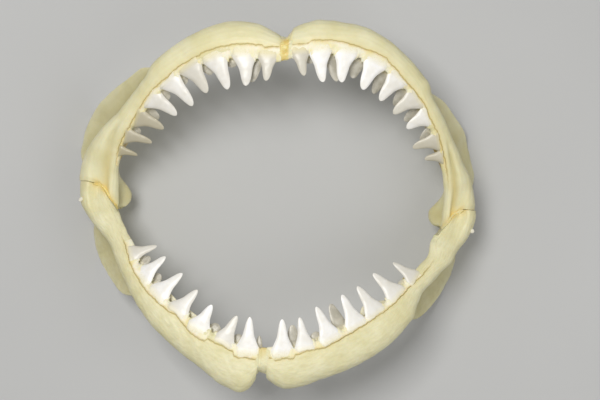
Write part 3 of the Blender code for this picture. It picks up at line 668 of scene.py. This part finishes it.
def ligament_material():
    """Air-dried ligament: horn-like, amber where it is thick and as pale as the cartilage
    where it is thin, half see-through, and glossier than cartilage."""
    material, shader = new_material("ligament_dried_amber", Roughness=0.4, IOR=1.5, Subsurface_Weight=0.2,
                                    Subsurface_Scale=0.003, Subsurface_Radius=(1.0, 0.6, 0.2))
    spot = node(material, "ShaderNodeTexCoord").outputs["Object"]
    crossed = node(material, "ShaderNodeMapping", {"Vector": spot, "Scale": (120, 700, 700)})
    fibres = node(material, "ShaderNodeTexNoise", {"Vector": crossed.outputs[0], "Scale": 1.0,
                                                   "Detail": 4.0})
    # knots of thicker tissue, about 8 mm apart
    knots = node(material, "ShaderNodeTexNoise", {"Vector": spot, "Scale": 130.0, "Detail": 2.0})
    gold = mottled(material, knots.outputs["Fac"], 0.4, 0.6, linear("E6D68F"), "DEC473")
    lined = mottled(material, fibres.outputs["Fac"], 0.5, 0.72, gold, "B98F40", 0.3)
    amber = node(material, "ShaderNodeAttribute", attribute_name="amber")
    body = node(material, "ShaderNodeMix", {0: amber.outputs["Fac"], 6: linear("E5E0BB"), 7: lined},
                data_type='RGBA')
    bump = node(material, "ShaderNodeBump", {"Height": fibres.outputs["Fac"], "Strength": 0.4,
                                             "Distance": 0.0005})
    connect(material, shader, Base_Color=body.outputs[2], Normal=bump.outputs[0])
    return material


ligament = ligament_material()
for jaw_name, seed in (("upper", 51), ("lower", 57)):
    piece = ligament_pad(f"{jaw_name}_symphysis_ligament", jaw_name, seed)
    # the lower one is as pale and crusty as the cartilage beside it
    finish(piece, {"upper": ligament, "lower": crust["lower"]}[jaw_name], "dried_ligament",
           f"{jaw_name}_symphysis")
for side_name, side, seed in (("right", RIGHT, 61), ("left", LEFT, 64)):
    finish(capsule(f"corner_capsule_{side_name}", side, seed), ligament, "dried_ligament")

# ---------------------------------------------------------------------------------------
# Gum: the skin in which the teeth are rooted. It wraps the tooth edge from the crack on the
# front face to a hem behind the teeth, and dried to a thin cream and ochre crust whose
# edge stands a little proud of the cartilage.
# ---------------------------------------------------------------------------------------
BAND_ENDS = {("upper", RIGHT): 83.0, ("upper", LEFT): 79.0, ("lower", RIGHT): 70.0,
             ("lower", LEFT): 71.0}
BAND_START = 1.5
BAND_ACROSS, BAND_BACK = 54, 18   # columns on the outer and on the hidden side
GUM = {"upper": 0.9, "lower": 0.7}   # thickness
HEM_DEPTH = 14.0                  # how far it reaches down behind the teeth
SUNK = 1.0                        # how deep its hidden side lies in the cartilage
OUTLINE_FROM, OUTLINE_TO, EDGE_STATION = 9.4, 16.4, 13.0   # stations, counted on past 12
ARCH_MM = 3.6                     # length of a degree of the arch, for patterns along it


def walk(lines, runs, wanted):
    """The point at each wanted distance along each line, by straight steps between the
    line's own points, whose distances along it are given."""
    k = (runs[:, None, :] <= wanted[:, :, None]).sum(axis=-1) - 1
    k = np.clip(k, 0, lines.shape[1] - 2)
    row = np.arange(len(lines))[:, None]
    t = np.clip((wanted - runs[row, k]) / np.maximum(runs[row, k + 1] - runs[row, k], 1e-9), 0, 1)
    return lines[row, k] * (1 - t[..., None]) + lines[row, k + 1] * t[..., None]


def tissue_band(name, jaw_name, side, angle, out, back, thickness, marks):
    """A thin band that lies on the section's own outline. Out is the reach, in radius, of its
    edge on the front face, or a distance behind the tooth edge where it is below 0, and back
    is the distance of its other edge. Its hidden side runs back inside the cartilage."""
    station = np.linspace(OUTLINE_FROM, OUTLINE_TO, 190)
    d = dimensions(jaw_name, side, angle)
    line = rounded(section_corners(d), station % 12)
    runs = np.cumsum(np.linalg.norm(np.diff(line, axis=1, prepend=line[:, :1]), axis=-1), axis=1)
    edge = runs[:, np.argmin(np.abs(station - EDGE_STATION))]
    reach = line[..., 0] - d["edge_radius"][:, None]
    short_of = (reach < out[:, None]) & (station < 16)
    row, k = np.arange(len(angle)), len(station) - 1 - short_of[:, ::-1].argmax(axis=1)
    k = np.minimum(k, len(station) - 2)
    t = np.clip((out - reach[row, k]) / (reach[row, k + 1] - reach[row, k]), 0, 1)
    start = np.where(out > 0, runs[row, k] + t * (runs[row, k + 1] - runs[row, k]), edge + out)[:, None]
    face = walk(line, runs, start + (edge[:, None] + back[:, None] - start) * np.linspace(0, 1, BAND_ACROSS))
    tangent = unit(np.gradient(face, axis=1))
    normal = np.stack([tangent[..., 1], -tangent[..., 0]], axis=-1)
    normal *= np.sign(((face - line.mean(axis=1, keepdims=True)) * normal).sum(axis=(1, 2)))[:, None, None]
    pick = np.linspace(BAND_ACROSS - 1, 0, BAND_BACK).round().astype(int)
    ring = np.concatenate([face + normal * thickness[..., None], (face - normal * SUNK)[:, pick]], axis=1)
    points = place(side, JAW_UP[jaw_name], angle[:, None], ring[..., 0], ring[..., 1])
    fields = {mark: np.concatenate([field, field[:, pick]], axis=1)[None] for mark, field in marks.items()}
    return skin(name, points[None], fields, 400.0)


def gum_band(name, jaw_name, side, seed):
    """Gum from the crack to the hem. Its thickness is flat-topped, 1 - (2u - 1)^10, with
    lumps, and fades out at its rear end."""
    last = BAND_ENDS[jaw_name, side]
    angle = np.arange(BAND_START, last, 0.22)
    d = dimensions(jaw_name, side, angle)
    out = np.maximum(seam_reach(jaw_name, side, angle), d["notch"] + 1.5)
    back = -(HEM_DEPTH + 1.2 * np.sin(angle * 1.3 + seed) + 0.8 * np.sin(angle * 3.1))
    u = np.linspace(0, 1, BAND_ACROSS)[None, :]
    spread = angle[:, None] * ARCH_MM + 0 * u
    spot = np.stack([spread, u * 28 + 0 * spread, 0 * spread + seed], axis=-1)
    tail = (np.clip((last - angle) / 6, 0, 1) * np.clip((angle - BAND_START) / 3, 0, 1))[:, None] ** 0.6
    body = 1 - np.abs(2 * u - 1) ** 10
    lip = 0.20 * np.exp(-((u - 0.06) / 0.05) ** 2)
    lumps = 0.16 * waves(spot, 9, seed + 1) + 0.08 * waves(spot, 3.4, seed + 2)
    crumbs = {"upper": 0.4, "lower": 0.12}[jaw_name]
    crusty = crumbs * np.clip(waves(spot, 5, seed + 4) - 0.8, 0, 1) * (d["notch"][:, None] > 1)
    thickness = GUM[jaw_name] * tail * (body + lip) + body * (lumps + crusty) * tail - 0.25 * (1 - body)
    yellow = 0.6 * np.clip((angle[:, None] - 45) / 25, 0, 1) * (jaw_name == "upper")
    ochre = np.clip(0.25 + 0.35 * waves(spot, 14, seed + 3) + 0.8 * crusty + yellow, 0, 1)
    # lip and hem: brown edges that are partly the gum's own glue, dirt and dried hem, and partly painted
    # shade at the cartilage and in the gaps between teeth
    marks = {"ochre": ochre, "hem_brown_and_shade": np.exp(-((1 - u) / 0.10) ** 2) + 0 * spread,
             "lip": np.exp(-(u / 0.07) ** 2) + 0 * spread}
    return tissue_band(name, jaw_name, side, angle, out, back, thickness, marks)


def gum_material():
    """Dried gum: a matt, slightly crusty skin, cream where it is thin over the roots and ochre where it is
    thick. A brown line along its edge is partly glue and dirt and partly painted shade where it meets the
    cartilage, and its brown hem behind the teeth is partly painted shade seen in the gaps."""
    material, shader = new_material("gum_dried_crusty", Roughness=0.55, IOR=1.46, Subsurface_Weight=0.12,
                                    Subsurface_Scale=0.002, Subsurface_Radius=(1.0, 0.65, 0.3))
    spot = node(material, "ShaderNodeTexCoord").outputs["Object"]
    # crumbs of dried skin, about 2 mm
    crumbs = node(material, "ShaderNodeTexNoise", {"Vector": spot, "Scale": 420.0, "Detail": 5.0,
                                                   "Roughness": 0.65})
    ochre = node(material, "ShaderNodeAttribute", attribute_name="ochre")
    shade = node(material, "ShaderNodeMix", {0: ochre.outputs["Fac"], 6: linear("F5F0D8"),
                                             7: linear("EADEA4")}, data_type='RGBA')
    flecked = mottled(material, crumbs.outputs["Fac"], 0.6, 0.76, shade.outputs[2], "C8AC5E", 0.3)
    # brown at the lip and at the hem: partly glue, dirt and dried edge, partly painted shade
    tone = stained(material, flecked, ("lip", 0.45, "D2B35E"), ("hem_brown_and_shade", 0.6, "A98A4C"))
    bump = node(material, "ShaderNodeBump", {"Height": crumbs.outputs["Fac"], "Strength": 0.6,
                                             "Distance": 0.0006})
    connect(material, shader, Base_Color=tone, Normal=bump.outputs[0])
    return material


gum = gum_material()
for number, (half_name, jaw_name, side, _) in enumerate(HALVES):
    finish(gum_band(f"{half_name}_gum", jaw_name, side, 70 + 6 * number), gum, "dried_gum")

# ---------------------------------------------------------------------------------------
# Front teeth: one row stands upright in use. Each is a flat triangular blade of enamel
# with saw edges on a porous root, held only by the gum. The upper ones are broad and hook
# back towards the rear, the lower ones are slimmer, straight, and stand on bulky roots.
# ---------------------------------------------------------------------------------------
BASE_INSET, BASE_SHARE = 5.0, 0.5   # from the inner edge out to the crown: at most this, of the crack's
BASE_DEPTH = 1.5             # that line below the front face
SAW_STEP, SAW_DEPTH = 1.6, 0.25   # real saw teeth are 0.8 mm apart: drawn coarser, to show
CROWN_SHARE = 0.72           # of a tooth's rows
# Width of the crown's base in that of the root, how round its sides are, 1 for straight, and
# from where to where it flares to its root, above the base in crown lengths and below in root lengths.
CROWN_BLUNT = {"upper": (0.66, 0.58, 0.48, -0.15), "lower": (0.66, 0.85, 0.5, -0.1)}
TIP_ROUND = 0.27             # width of a crown's round tip in that of its base
ROOT_PROUD = {"upper": (1.2, 0.3), "lower": (1.2, 0.9)}   # of the gum, at its crown and at its end
ROOT_SHORT = 0.7             # from a root's end to the crack
ENAMEL_START = {"upper": -2.0, "lower": -2.5}   # height above the base where enamel and root meet
ENAMEL_FADE = 9.0
# How cream and dark each tooth is painted, from the symphysis back: 0 is white and 1 as dull as the jaw. This
# is partly the tooth's own cream and partly painted shade on the teeth that lie in shade.
CREAM_AND_SHADE = {("upper", RIGHT): (0.5, 0.25, 0.25, 0.5, 0.2, 0.3, 0.9, 0.9, 1),
        ("upper", LEFT): (0.6, 0, 0, 0, 0.2, 0.5, 0.2, 0.75, 0.8),
        ("lower", RIGHT): (0, 0.3, 0, 0.25, 0, 0, 0.4),
        ("lower", LEFT): (0, 0.1, 0, 0, 0.2, 0.25, 0.4)}


def tooth_grid(width, length, root, labial, lingual, rows, cols, blunt=(0.85, 0.8, 0.2, -0.75),
               hook=0.02, lean=0.4, saw=0.0, seed=0):
    """One tooth about its own base, as (across, along, out of the labial face).

    Half its width is half the root's times a ((1-r) (1-t)^b + r (1-t^10)^0.5) up the crown, t
    from 0 to 1, r the share of its round tip, with the rear edge drawn in sooner. It flares
    from a to 1 by a smooth step between two places, above and below its base.
    Root gives the length of each column of the root. The section is a lens: flat labial
    face, 1 - x^3.4, that grows squarer on the root, and round lingual face, 1 - x^2."""
    crown_rows = int(rows * CROWN_SHARE)
    v = np.concatenate([-np.cos(np.linspace(0, 0.5 * np.pi, rows - crown_rows, endpoint=False)),
                        0.9995 - 0.9995 * (1 - np.linspace(0, 1, crown_rows)) ** 1.12])[:, None]
    phi = 2 * np.pi * np.arange(cols)[None, :] / cols
    x = np.cos(phi)
    t, down = np.clip(v, 0, 1), np.clip(-v, 0, 1)
    along_it = np.where(v > 0, v * length, v * root * (1 - 0.98 * x**10) ** 0.4)
    share, power, flare_from, flare_to = blunt
    step = np.clip((v - flare_to) / (flare_from - flare_to), 0, 1)
    flare = (1 - share) * (1 - step**2 * (3 - 2 * step))
    taper = (1 - TIP_ROUND) * (1 - t) ** (power + 0.07 * lean * (x > 0)) + TIP_ROUND * (1 - t**10) ** 0.5
    half = 0.5 * width * (share * taper + flare)
    notches = np.abs(((along_it / SAW_STEP + np.random.default_rng(seed).uniform()) % 1) - 0.5) * 2
    bite = SAW_DEPTH * saw * notches * np.clip(along_it / 3, 0, 1) * np.clip((1 - t) * 8, 0, 1)
    across = x * half - np.sign(x) * bite * np.abs(x) ** 30 - hook * length * 4 * t * (1 - t)
    out = np.interp(v, [-1, 0, 0.25, 0.7, 1], [labial[0], labial[1], labial[1] * 0.95, labial[1] * 0.6,
                                               labial[1] * 0.15])
    back = np.interp(v, [-1, 0, 0.2, 0.6, 1], [lingual[0], lingual[1], lingual[1] * 0.95,
                                               lingual[1] * 0.6, lingual[1] * 0.12])
    squarer = np.clip(down * 2.5, 0, 1)
    roll = (1 - 0.97 * down**9) ** 0.5
    bulge = np.where(np.sin(phi) >= 0, out * (1 - np.abs(x) ** (3.4 + 4 * squarer)),
                     -back * (1 - np.abs(x) ** (2 + 3 * squarer))) * roll
    ripple = 0.10 * np.sin(x * 7 + 2) * np.exp(-((t - 0.08) / 0.12) ** 2) * (np.sin(phi) > 0)
    return np.stack([across, along_it, bulge + ripple - 0.035 * length * t**2 + 0 * across], axis=-1)


def set_tooth(shape, base, tip, labial, rearward):
    """Puts a tooth's own grid in the jaw: along from base to tip, out towards the labial
    side, and across towards the rear of the mouth."""
    along_axis = unit(tip - base)
    out = unit(labial - along_axis * np.dot(labial, along_axis))
    across = np.cross(out, along_axis)
    across = across * np.sign(np.dot(across, rearward))
    return base + shape[..., :1] * across + shape[..., 1:2] * along_axis + shape[..., 2:] * out


def arch_spot(jaw_name, side, angle):
    """The jaw's dimensions at one angle, the level directions rearward and inward there, and
    the direction square to the front face, which slopes down towards the rear."""
    d = {key: value[0] for key, value in dimensions(jaw_name, side, np.array([float(angle)])).items()}
    fall = np.diff(dimensions(jaw_name, side, angle + np.array([-2.0, 2.0]))["edge_height"])[0]
    turn, up = np.radians(angle), JAW_UP[jaw_name]
    rearward = np.array([side * np.cos(turn), -up * np.sin(turn), 0])
    face = np.array([0, 0, 1.0]) - rearward * fall / (d["edge_radius"] * np.radians(4))
    return d, rearward, np.array([-side * np.sin(turn), -up * np.cos(turn), 0]), face


def front_row(name, jaw_name, side, seed):
    """The upright teeth of one jaw half as one mesh. Each root ends just short of the crack."""
    up, grids, enamel, cols = JAW_UP[jaw_name], [], [], 36
    for n, (angle, tip_angle, tip_radius, width) in enumerate(FRONT_TEETH[jaw_name, side]):
        draw = np.random.default_rng(seed + n)
        d, rearward, _, face = arch_spot(jaw_name, side, angle)
        inset = min(BASE_INSET, BASE_SHARE * along(CRACK[jaw_name, side], angle))
        base = place(side, up, angle, d["edge_radius"] + inset, d["edge_height"] - BASE_DEPTH)
        tip = place(side, up, tip_angle, tip_radius, d["edge_height"])
        over = np.degrees(0.5 * width * np.cos(2 * np.pi * np.arange(cols) / cols) / TOOTH_LINE)
        root = np.maximum(seam_reach(jaw_name, side, angle + over) - inset - ROOT_SHORT, 2.0)
        at_base, at_root = (BASE_DEPTH + GUM[jaw_name] + proud for proud in ROOT_PROUD[jaw_name])
        at_root += 0.03 * d["bar_depth"]
        hooked = min(n / 5, 1)
        width *= np.linalg.norm(face)
        bent, lean = (0.02 + 0.03 * hooked, 0.4 + 0.6 * hooked) if jaw_name == "upper" else (0, 0.2)
        shape = tooth_grid(width, np.linalg.norm(tip - base), root, (at_root, at_base),
                           (3.0, 0.15 * width), 150, cols, CROWN_BLUNT[jaw_name], hook=bent,
                           lean=lean, saw=1.0, seed=seed + 50 + n)
        shape[..., 2] += 0.12 * waves(shape, 11, seed + 90 + n)
        labial = unit(face) + 0.05 * draw.normal(size=3)
        grids.append(set_tooth(shape, base, tip, labial, rearward))
        enamel.append(np.clip((shape[..., 1] - ENAMEL_START[jaw_name]) / ENAMEL_FADE + 0.5, 0, 1))
    cream_and_shade = np.array(CREAM_AND_SHADE[jaw_name, side])[:, None, None]
    return skin(name, np.stack(grids), {"enamel": np.stack(enamel), "cream_and_shade": cream_and_shade}, 300.0, (3, 3))


def tooth_material(name, white, shade, gloss, glow):
    """Shark enamel over dentine: very white, dense and glossy, creamier at its base, and mottled in soft
    clouds along the crown. The root is matt, cream and pitted with pores."""
    material, shader = new_material(name, IOR=1.62, Subsurface_Weight=glow, Subsurface_Scale=0.002,
                                    Subsurface_Radius=(1.0, 0.9, 0.75))
    spot = node(material, "ShaderNodeTexCoord").outputs["Object"]
    enamel = node(material, "ShaderNodeAttribute", attribute_name="enamel")
    # pores in the root, about 1 mm
    pores = node(material, "ShaderNodeTexNoise", {"Vector": spot, "Scale": 800.0, "Detail": 3.0})
    clouds = node(material, "ShaderNodeTexNoise", {"Vector": spot, "Scale": 90.0, "Detail": 2.0})
    fresh = mottled(material, clouds.outputs["Fac"], 0.38, 0.62, linear(white), shade)
    porous = mottled(material, pores.outputs["Fac"], 0.52, 0.72, linear("F0EBD2"), "E2D7A8")
    cream_and_shade = node(material, "ShaderNodeAttribute", attribute_name="cream_and_shade")
    # dull cream over crown and root: partly the tooth's own colour, partly painted shade
    crown, root = (node(material, "ShaderNodeMix", {0: cream_and_shade.outputs["Fac"], 6: new, 7: linear(old)},
                        data_type='RGBA') for new, old in ((fresh, "B4AC92"), (porous, "D6CA92")))
    both = node(material, "ShaderNodeMix", {0: enamel.outputs["Fac"], 6: root.outputs[2],
                                            7: crown.outputs[2]}, data_type='RGBA')
    rough = node(material, "ShaderNodeMapRange", {"Value": enamel.outputs["Fac"], "To Min": 0.55,
                                                  "To Max": gloss})
    dull = node(material, "ShaderNodeMapRange", {"Value": enamel.outputs["Fac"], "To Min": 0.45,
                                                 "To Max": 0.04})
    bump = node(material, "ShaderNodeBump", {"Height": pores.outputs["Fac"], "Strength": dull.outputs[0],
                                             "Distance": 0.0005})
    connect(material, shader, Base_Color=both.outputs[2], Roughness=rough.outputs[0],
            Normal=bump.outputs[0])
    return material


enamel_white = tooth_material("tooth_enamel_polished", "FAF9F7", "F2F0EB", 0.38, 0.08)
for number, (half_name, jaw_name, side, _) in enumerate(HALVES):
    finish(front_row(f"{half_name}_front_teeth", jaw_name, side, 200 + 40 * number), enamel_white,
           "tooth_crown")

# ---------------------------------------------------------------------------------------
# Second row: teeth half risen behind the gaps of the front row. Their crowns are finished but hollow and
# thin, so they look glassier. Their grey comes partly from that and is partly painted shade, because they lie
# in the shade of the front row. They stand free of the front row.
# ---------------------------------------------------------------------------------------
SECOND_INSET, SECOND_DEPTH = 2.0, 15.0
# Angle of the base, angle of the tip, radius of the tip, width. 20 tips were read off the
# photograph as pixels and turned into these units by another script, and half of them were
# moved a little since. The other 7 are guessed.
SECOND_TEETH = {
    ("upper", RIGHT): ((12.9, 15.6, 158, 27), (21.5, 22.6, 184, 25), (31.5, 31.5, 187, 25),
                       (42.0, 42.6, 196, 25), (51.0, 51.5, 198, 25), (60.2, 60.0, 194, 25),
                       (68.5, 68.5, 208, 22)),
    ("upper", LEFT): ((9.6, 11.2, 187, 23), (17.8, 23.8, 177, 25), (27.0, 28.7, 192, 26),
                      (37.0, 39.0, 194, 25), (46.3, 47.8, 205, 25), (54.4, 54.8, 206, 25),
                      (62.6, 64.0, 215, 22)),
    ("lower", RIGHT): ((1.9, 2.0, 185, 12), (10.6, 9.8, 188, 24), (20.6, 19.7, 185, 25),
                       (31.2, 31.2, 196, 25), (41.2, 41.2, 197, 25), (51.2, 52.3, 188, 25),
                       (60.0, 60.5, 190, 22)),
    ("lower", LEFT): ((11.9, 12.3, 171, 24), (21.0, 20.9, 187, 25), (31.4, 32.2, 161, 25),
                      (41.3, 41.8, 201, 25), (50.8, 51.0, 203, 25), (60.2, 60.4, 205, 22)),
}


def second_row(name, jaw_name, side, seed):
    """The half-risen teeth of one jaw half as one mesh."""
    up, grids, enamel = JAW_UP[jaw_name], [], []
    for n, (angle, tip_angle, tip_radius, width) in enumerate(SECOND_TEETH[jaw_name, side]):
        d, rearward, _, face = arch_spot(jaw_name, side, angle)
        height = d["edge_height"] - SECOND_DEPTH
        base = place(side, up, angle, d["edge_radius"] + SECOND_INSET, height)
        tip = place(side, up, tip_angle, tip_radius, height)
        shape = tooth_grid(width, np.linalg.norm(tip - base), 5.0, (2.0, 2.2), (2.5, 3.4), 64, 26,
                           blunt=(0.92, 0.72, 0.2, -0.75), seed=seed + n)
        grids.append(set_tooth(shape, base, tip, face, rearward))
        enamel.append(np.clip(shape[..., 1] / ENAMEL_FADE + 0.5, 0, 1))
    return skin(name, np.stack(grids), {"enamel": np.stack(enamel)}, 240.0, (3, 3))


# a greyer copy of the enamel: partly thin, glassy enamel, partly painted shade for teeth that lie in shade
shaded_thin_enamel = tooth_material("tooth_enamel_thin_and_shaded", "CAC6BA", "B2AEA0", 0.36, 0.25)
for number, (half_name, jaw_name, side, _) in enumerate(HALVES):
    finish(second_row(f"{half_name}_second_teeth", jaw_name, side, 400 + 20 * number), shaded_thin_enamel,
           "tooth_crown")

# ---------------------------------------------------------------------------------------
# Spare teeth: the next two rows lie flat on the inner face of the jaw, points down towards
# its base, each tooth over the gap of the row under it. They rise as front teeth fall out.
# ---------------------------------------------------------------------------------------
# Depth of the base, length, inset, lean outwards, and 1 where teeth lie over the front row's gaps.
SPARE_ROWS = (("third", 15.0, 27.0, 4.0, 3.0, 0), ("fourth", 22.0, 22.0, 6.5, 3.0, 1))
SPARE_WIDTH = 24.0


def spare_row(name, jaw_name, side, row, seed):
    """One lying row of one jaw half as one mesh, labial faces towards the mouth. More than
    half of it is sunk in the cartilage."""
    _, depth, length, inset, lean, over_gaps = row
    up, grids, enamel = JAW_UP[jaw_name], [], []
    teeth = FRONT_TEETH[jaw_name, side]
    centres = np.array([tooth[0] for tooth in teeth], float)
    widths = np.minimum([tooth[3] for tooth in teeth], SPARE_WIDTH)
    if over_gaps:
        centres, widths = 0.5 * (centres[:-1] + centres[1:]), 0.5 * (widths[:-1] + widths[1:])
    for n, (angle, width) in enumerate(zip(centres, widths)):
        d, rearward, inward, face = arch_spot(jaw_name, side, angle)
        base = place(side, up, angle, d["edge_radius"] + inset, d["edge_height"] - depth)
        tip = base - length * unit(face) - lean * inward
        shape = tooth_grid(width, length, 4.0, (2.4, 2.8), (2.0, 2.5), 44, 22, seed=seed + n)
        grids.append(set_tooth(shape, base, tip, inward, rearward))
        enamel.append(np.clip(shape[..., 1] / ENAMEL_FADE + 0.5, 0, 1))
    return skin(name, np.stack(grids), {"enamel": np.stack(enamel)}, 200.0, (3, 3))


for number, (half_name, jaw_name, side, _) in enumerate(HALVES):
    for row in SPARE_ROWS:
        piece = spare_row(f"{half_name}_{row[0]}_teeth", jaw_name, side, row, 500 + 20 * number)
        finish(piece, shaded_thin_enamel, "tooth_crown")

# ---------------------------------------------------------------------------------------
# Dental fold: the flap of mouth lining that covered the spare teeth. On drying it drew back
# to a thin, curled, ochre strip along their points.
# ---------------------------------------------------------------------------------------
FOLD_FROM, FOLD_TO = 31.0, 45.0    # distance behind the tooth edge


def dental_fold(name, jaw_name, side, seed):
    """A strip that stands off the cartilage over the tips of the spare teeth: its upper hem
    is curled out and wavy, and it thins to nothing at its foot and its rear end."""
    last = BAND_ENDS[jaw_name, side] - 2
    angle = np.arange(BAND_START + 1, last, 0.3)
    out = -(FOLD_FROM + 2.0 * np.sin(angle * 0.8 + seed) + 1.2 * np.sin(angle * 2.1))
    back = -(FOLD_TO + 1.5 * np.sin(angle * 0.5))
    u = np.linspace(0, 1, BAND_ACROSS)[None, :]
    spread = angle[:, None] * ARCH_MM + 0 * u
    spot = np.stack([spread, u * 14 + 0 * spread, 0 * spread + seed], axis=-1)
    tail = np.clip((last - angle) / 8, 0, 1)[:, None] ** 0.6 * np.clip(angle / 6, 0.3, 1)[:, None]
    curl = 5.2 * (1 - u) ** 0.8 * (1 - np.exp(-(u / 0.03) ** 2))
    thickness = tail * (curl + 0.4 * waves(spot, 8, seed) * (1 - u)) + 0.2 - 0.4 * (u > 0.97)
    ochre = np.clip(0.6 + 0.5 * waves(spot, 10, seed + 3), 0, 1)
    marks = {"ochre": ochre, "hem_brown_and_shade": np.exp(-(u / 0.2) ** 2) + 0 * spread, "lip": 0 * spread}
    return tissue_band(name, jaw_name, side, angle, out, back, thickness, marks)


for number, (half_name, jaw_name, side, _) in enumerate(HALVES):
    finish(dental_fold(f"{half_name}_dental_fold", jaw_name, side, 640 + 6 * number), gum, "dried_gum")

# ---------------------------------------------------------------------------------------
# Tie knots: a waxed cord draws each corner of the mouth together, so that the jaws dry in
# place. Only its knot shows, on the outside of the lower jaw.
# ---------------------------------------------------------------------------------------
KNOT_ROWS, KNOT_COLUMNS = 60, 72
KNOT_SUNK = {"right": 3.2, "left": 2.0}   # deeper in the jaw than its solid, as it was pulled tight
KNOT_SWELL = 1.15            # its loose turns lie outside the solid


def tie_knot(name, low, high, seed):
    """A ball in its node's box, r = 1 plus three soft lobes and a winding ridge."""
    middle, half = 0.5 * (low + high), 0.5 * KNOT_SWELL * (high - low)
    polar = np.linspace(0.03, np.pi - 0.03, KNOT_ROWS)[:, None]
    turn = 2 * np.pi * np.arange(KNOT_COLUMNS)[None, :] / KNOT_COLUMNS
    way = np.stack([np.sin(polar) * np.cos(turn), np.sin(polar) * np.sin(turn),
                    np.cos(polar) + 0 * turn], axis=-1)
    lobes = unit(np.random.default_rng(seed).normal(size=(4, 3)))
    swell = sum(np.exp(-(1 - way @ lobe) / 0.22) for lobe in lobes)
    winding = np.sin(way @ lobes[0] * 13 + 2 * way @ lobes[1])
    size = 0.74 + 0.20 * swell.clip(0, 1) + 0.05 * winding + 0.02 * waves(way * 10, 4, seed)
    return skin(name, (middle + way * half * size[..., None])[None], {}, 45.0)


def cord_material():
    """Waxed white cord, darkened a little in its folds by handling."""
    material, shader = new_material("cord_waxed_white", Roughness=0.5)
    spot = node(material, "ShaderNodeTexCoord").outputs["Object"]
    # twist of the yarn: 0.8 mm
    yarn = node(material, "ShaderNodeTexNoise", {"Vector": spot, "Scale": 1300.0, "Detail": 3.0})
    tone = node(material, "ShaderNodeMix", {0: yarn.outputs["Fac"], 6: linear("F2F0E6"),
                                            7: linear("D6D1BC")}, data_type='RGBA')
    bump = node(material, "ShaderNodeBump", {"Height": yarn.outputs["Fac"], "Strength": 0.5,
                                             "Distance": 0.0003})
    connect(material, shader, Base_Color=tone.outputs[2], Normal=bump.outputs[0])
    return material


cord = cord_material()
for side_name, seed in (("right", 5), ("left", 11)):
    low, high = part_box(f"joint_tie_{side_name}")
    sunk = np.array([KNOT_SUNK[side_name] * (-1 if side_name == "left" else 1), 0, 0])
    piece = tie_knot(f"joint_tie_{side_name}_knot", np.array(low) / MM + sunk, np.array(high) / MM + sunk,
                     seed)
    finish(piece, cord, "tie_knot", f"joint_tie_{side_name}")

# ---------------------------------------------------------------------------------------
# Setting: a plain pale floor under soft studio light from the upper left of the picture,
# and a camera that looks straight down on the lying jaws.
# ---------------------------------------------------------------------------------------
FLOOR_SIZE = 6.0
CAMERA_PLACE = (0.036, 0.0105, 2.08)
CAMERA_ROLL = 4.3            # degrees
FOCAL_LENGTH, SENSOR_WIDTH = 85, 36


def floor_material():
    """Matt painted board, too fine in grain to show."""
    material, shader = new_material("floor_matt_paint", Roughness=0.9)
    spot = node(material, "ShaderNodeTexCoord").outputs["Object"]
    haze = node(material, "ShaderNodeTexNoise", {"Vector": spot, "Scale": 3.0, "Detail": 2.0})
    tone = node(material, "ShaderNodeMix", {0: haze.outputs["Fac"], 6: linear("BDBEBF"),
                                            7: linear("C2C3C4")}, data_type='RGBA')
    connect(material, shader, Base_Color=tone.outputs[2])
    return material


mesh = bpy.data.meshes.new("floor")
mesh.from_pydata([(x * FLOOR_SIZE / 2, y * FLOOR_SIZE / 2, 0)
                  for x, y in ((-1, -1), (1, -1), (1, 1), (-1, 1))], [], [(0, 1, 2, 3)])
floor = bpy.data.objects.new("floor", mesh)
bpy.context.collection.objects.link(floor)
floor.data.materials.append(floor_material())

# Name, place, width, power in watts, colour.
for name, spot, width, power, colour in (
        ("key_light", (-0.6, 0.5, 2.6), 0.9, 45, (1.0, 0.985, 0.955)),
        ("fill_light", (1.2, -0.5, 1.6), 1.4, 9, (1.0, 0.99, 0.96))):
    light = bpy.data.lights.new(name, 'AREA')
    light.size = width
    light.energy = power
    light.color = colour
    lamp = bpy.data.objects.new(name, light)
    lamp.location = spot
    tilt = np.arctan2(np.hypot(*spot[:2]), spot[2])
    lamp.rotation_euler = (tilt, 0, np.arctan2(spot[0], -spot[1]))
    bpy.context.collection.objects.link(lamp)

world = bpy.data.worlds.new("studio")
world.use_nodes = True
backdrop = world.node_tree.nodes["Background"]
backdrop.inputs["Color"].default_value = (0.98, 0.97, 0.94, 1.0)
backdrop.inputs["Strength"].default_value = 0.28
bpy.context.scene.world = world
bpy.context.scene.view_settings.view_transform = 'Standard'

lens = bpy.data.cameras.new("camera")
lens.lens = FOCAL_LENGTH
lens.sensor_width = SENSOR_WIDTH
camera = bpy.data.objects.new("camera", lens)
camera.location = CAMERA_PLACE
camera.rotation_euler = (0, 0, np.radians(CAMERA_ROLL))
bpy.context.collection.objects.link(camera)
bpy.context.scene.camera = camera
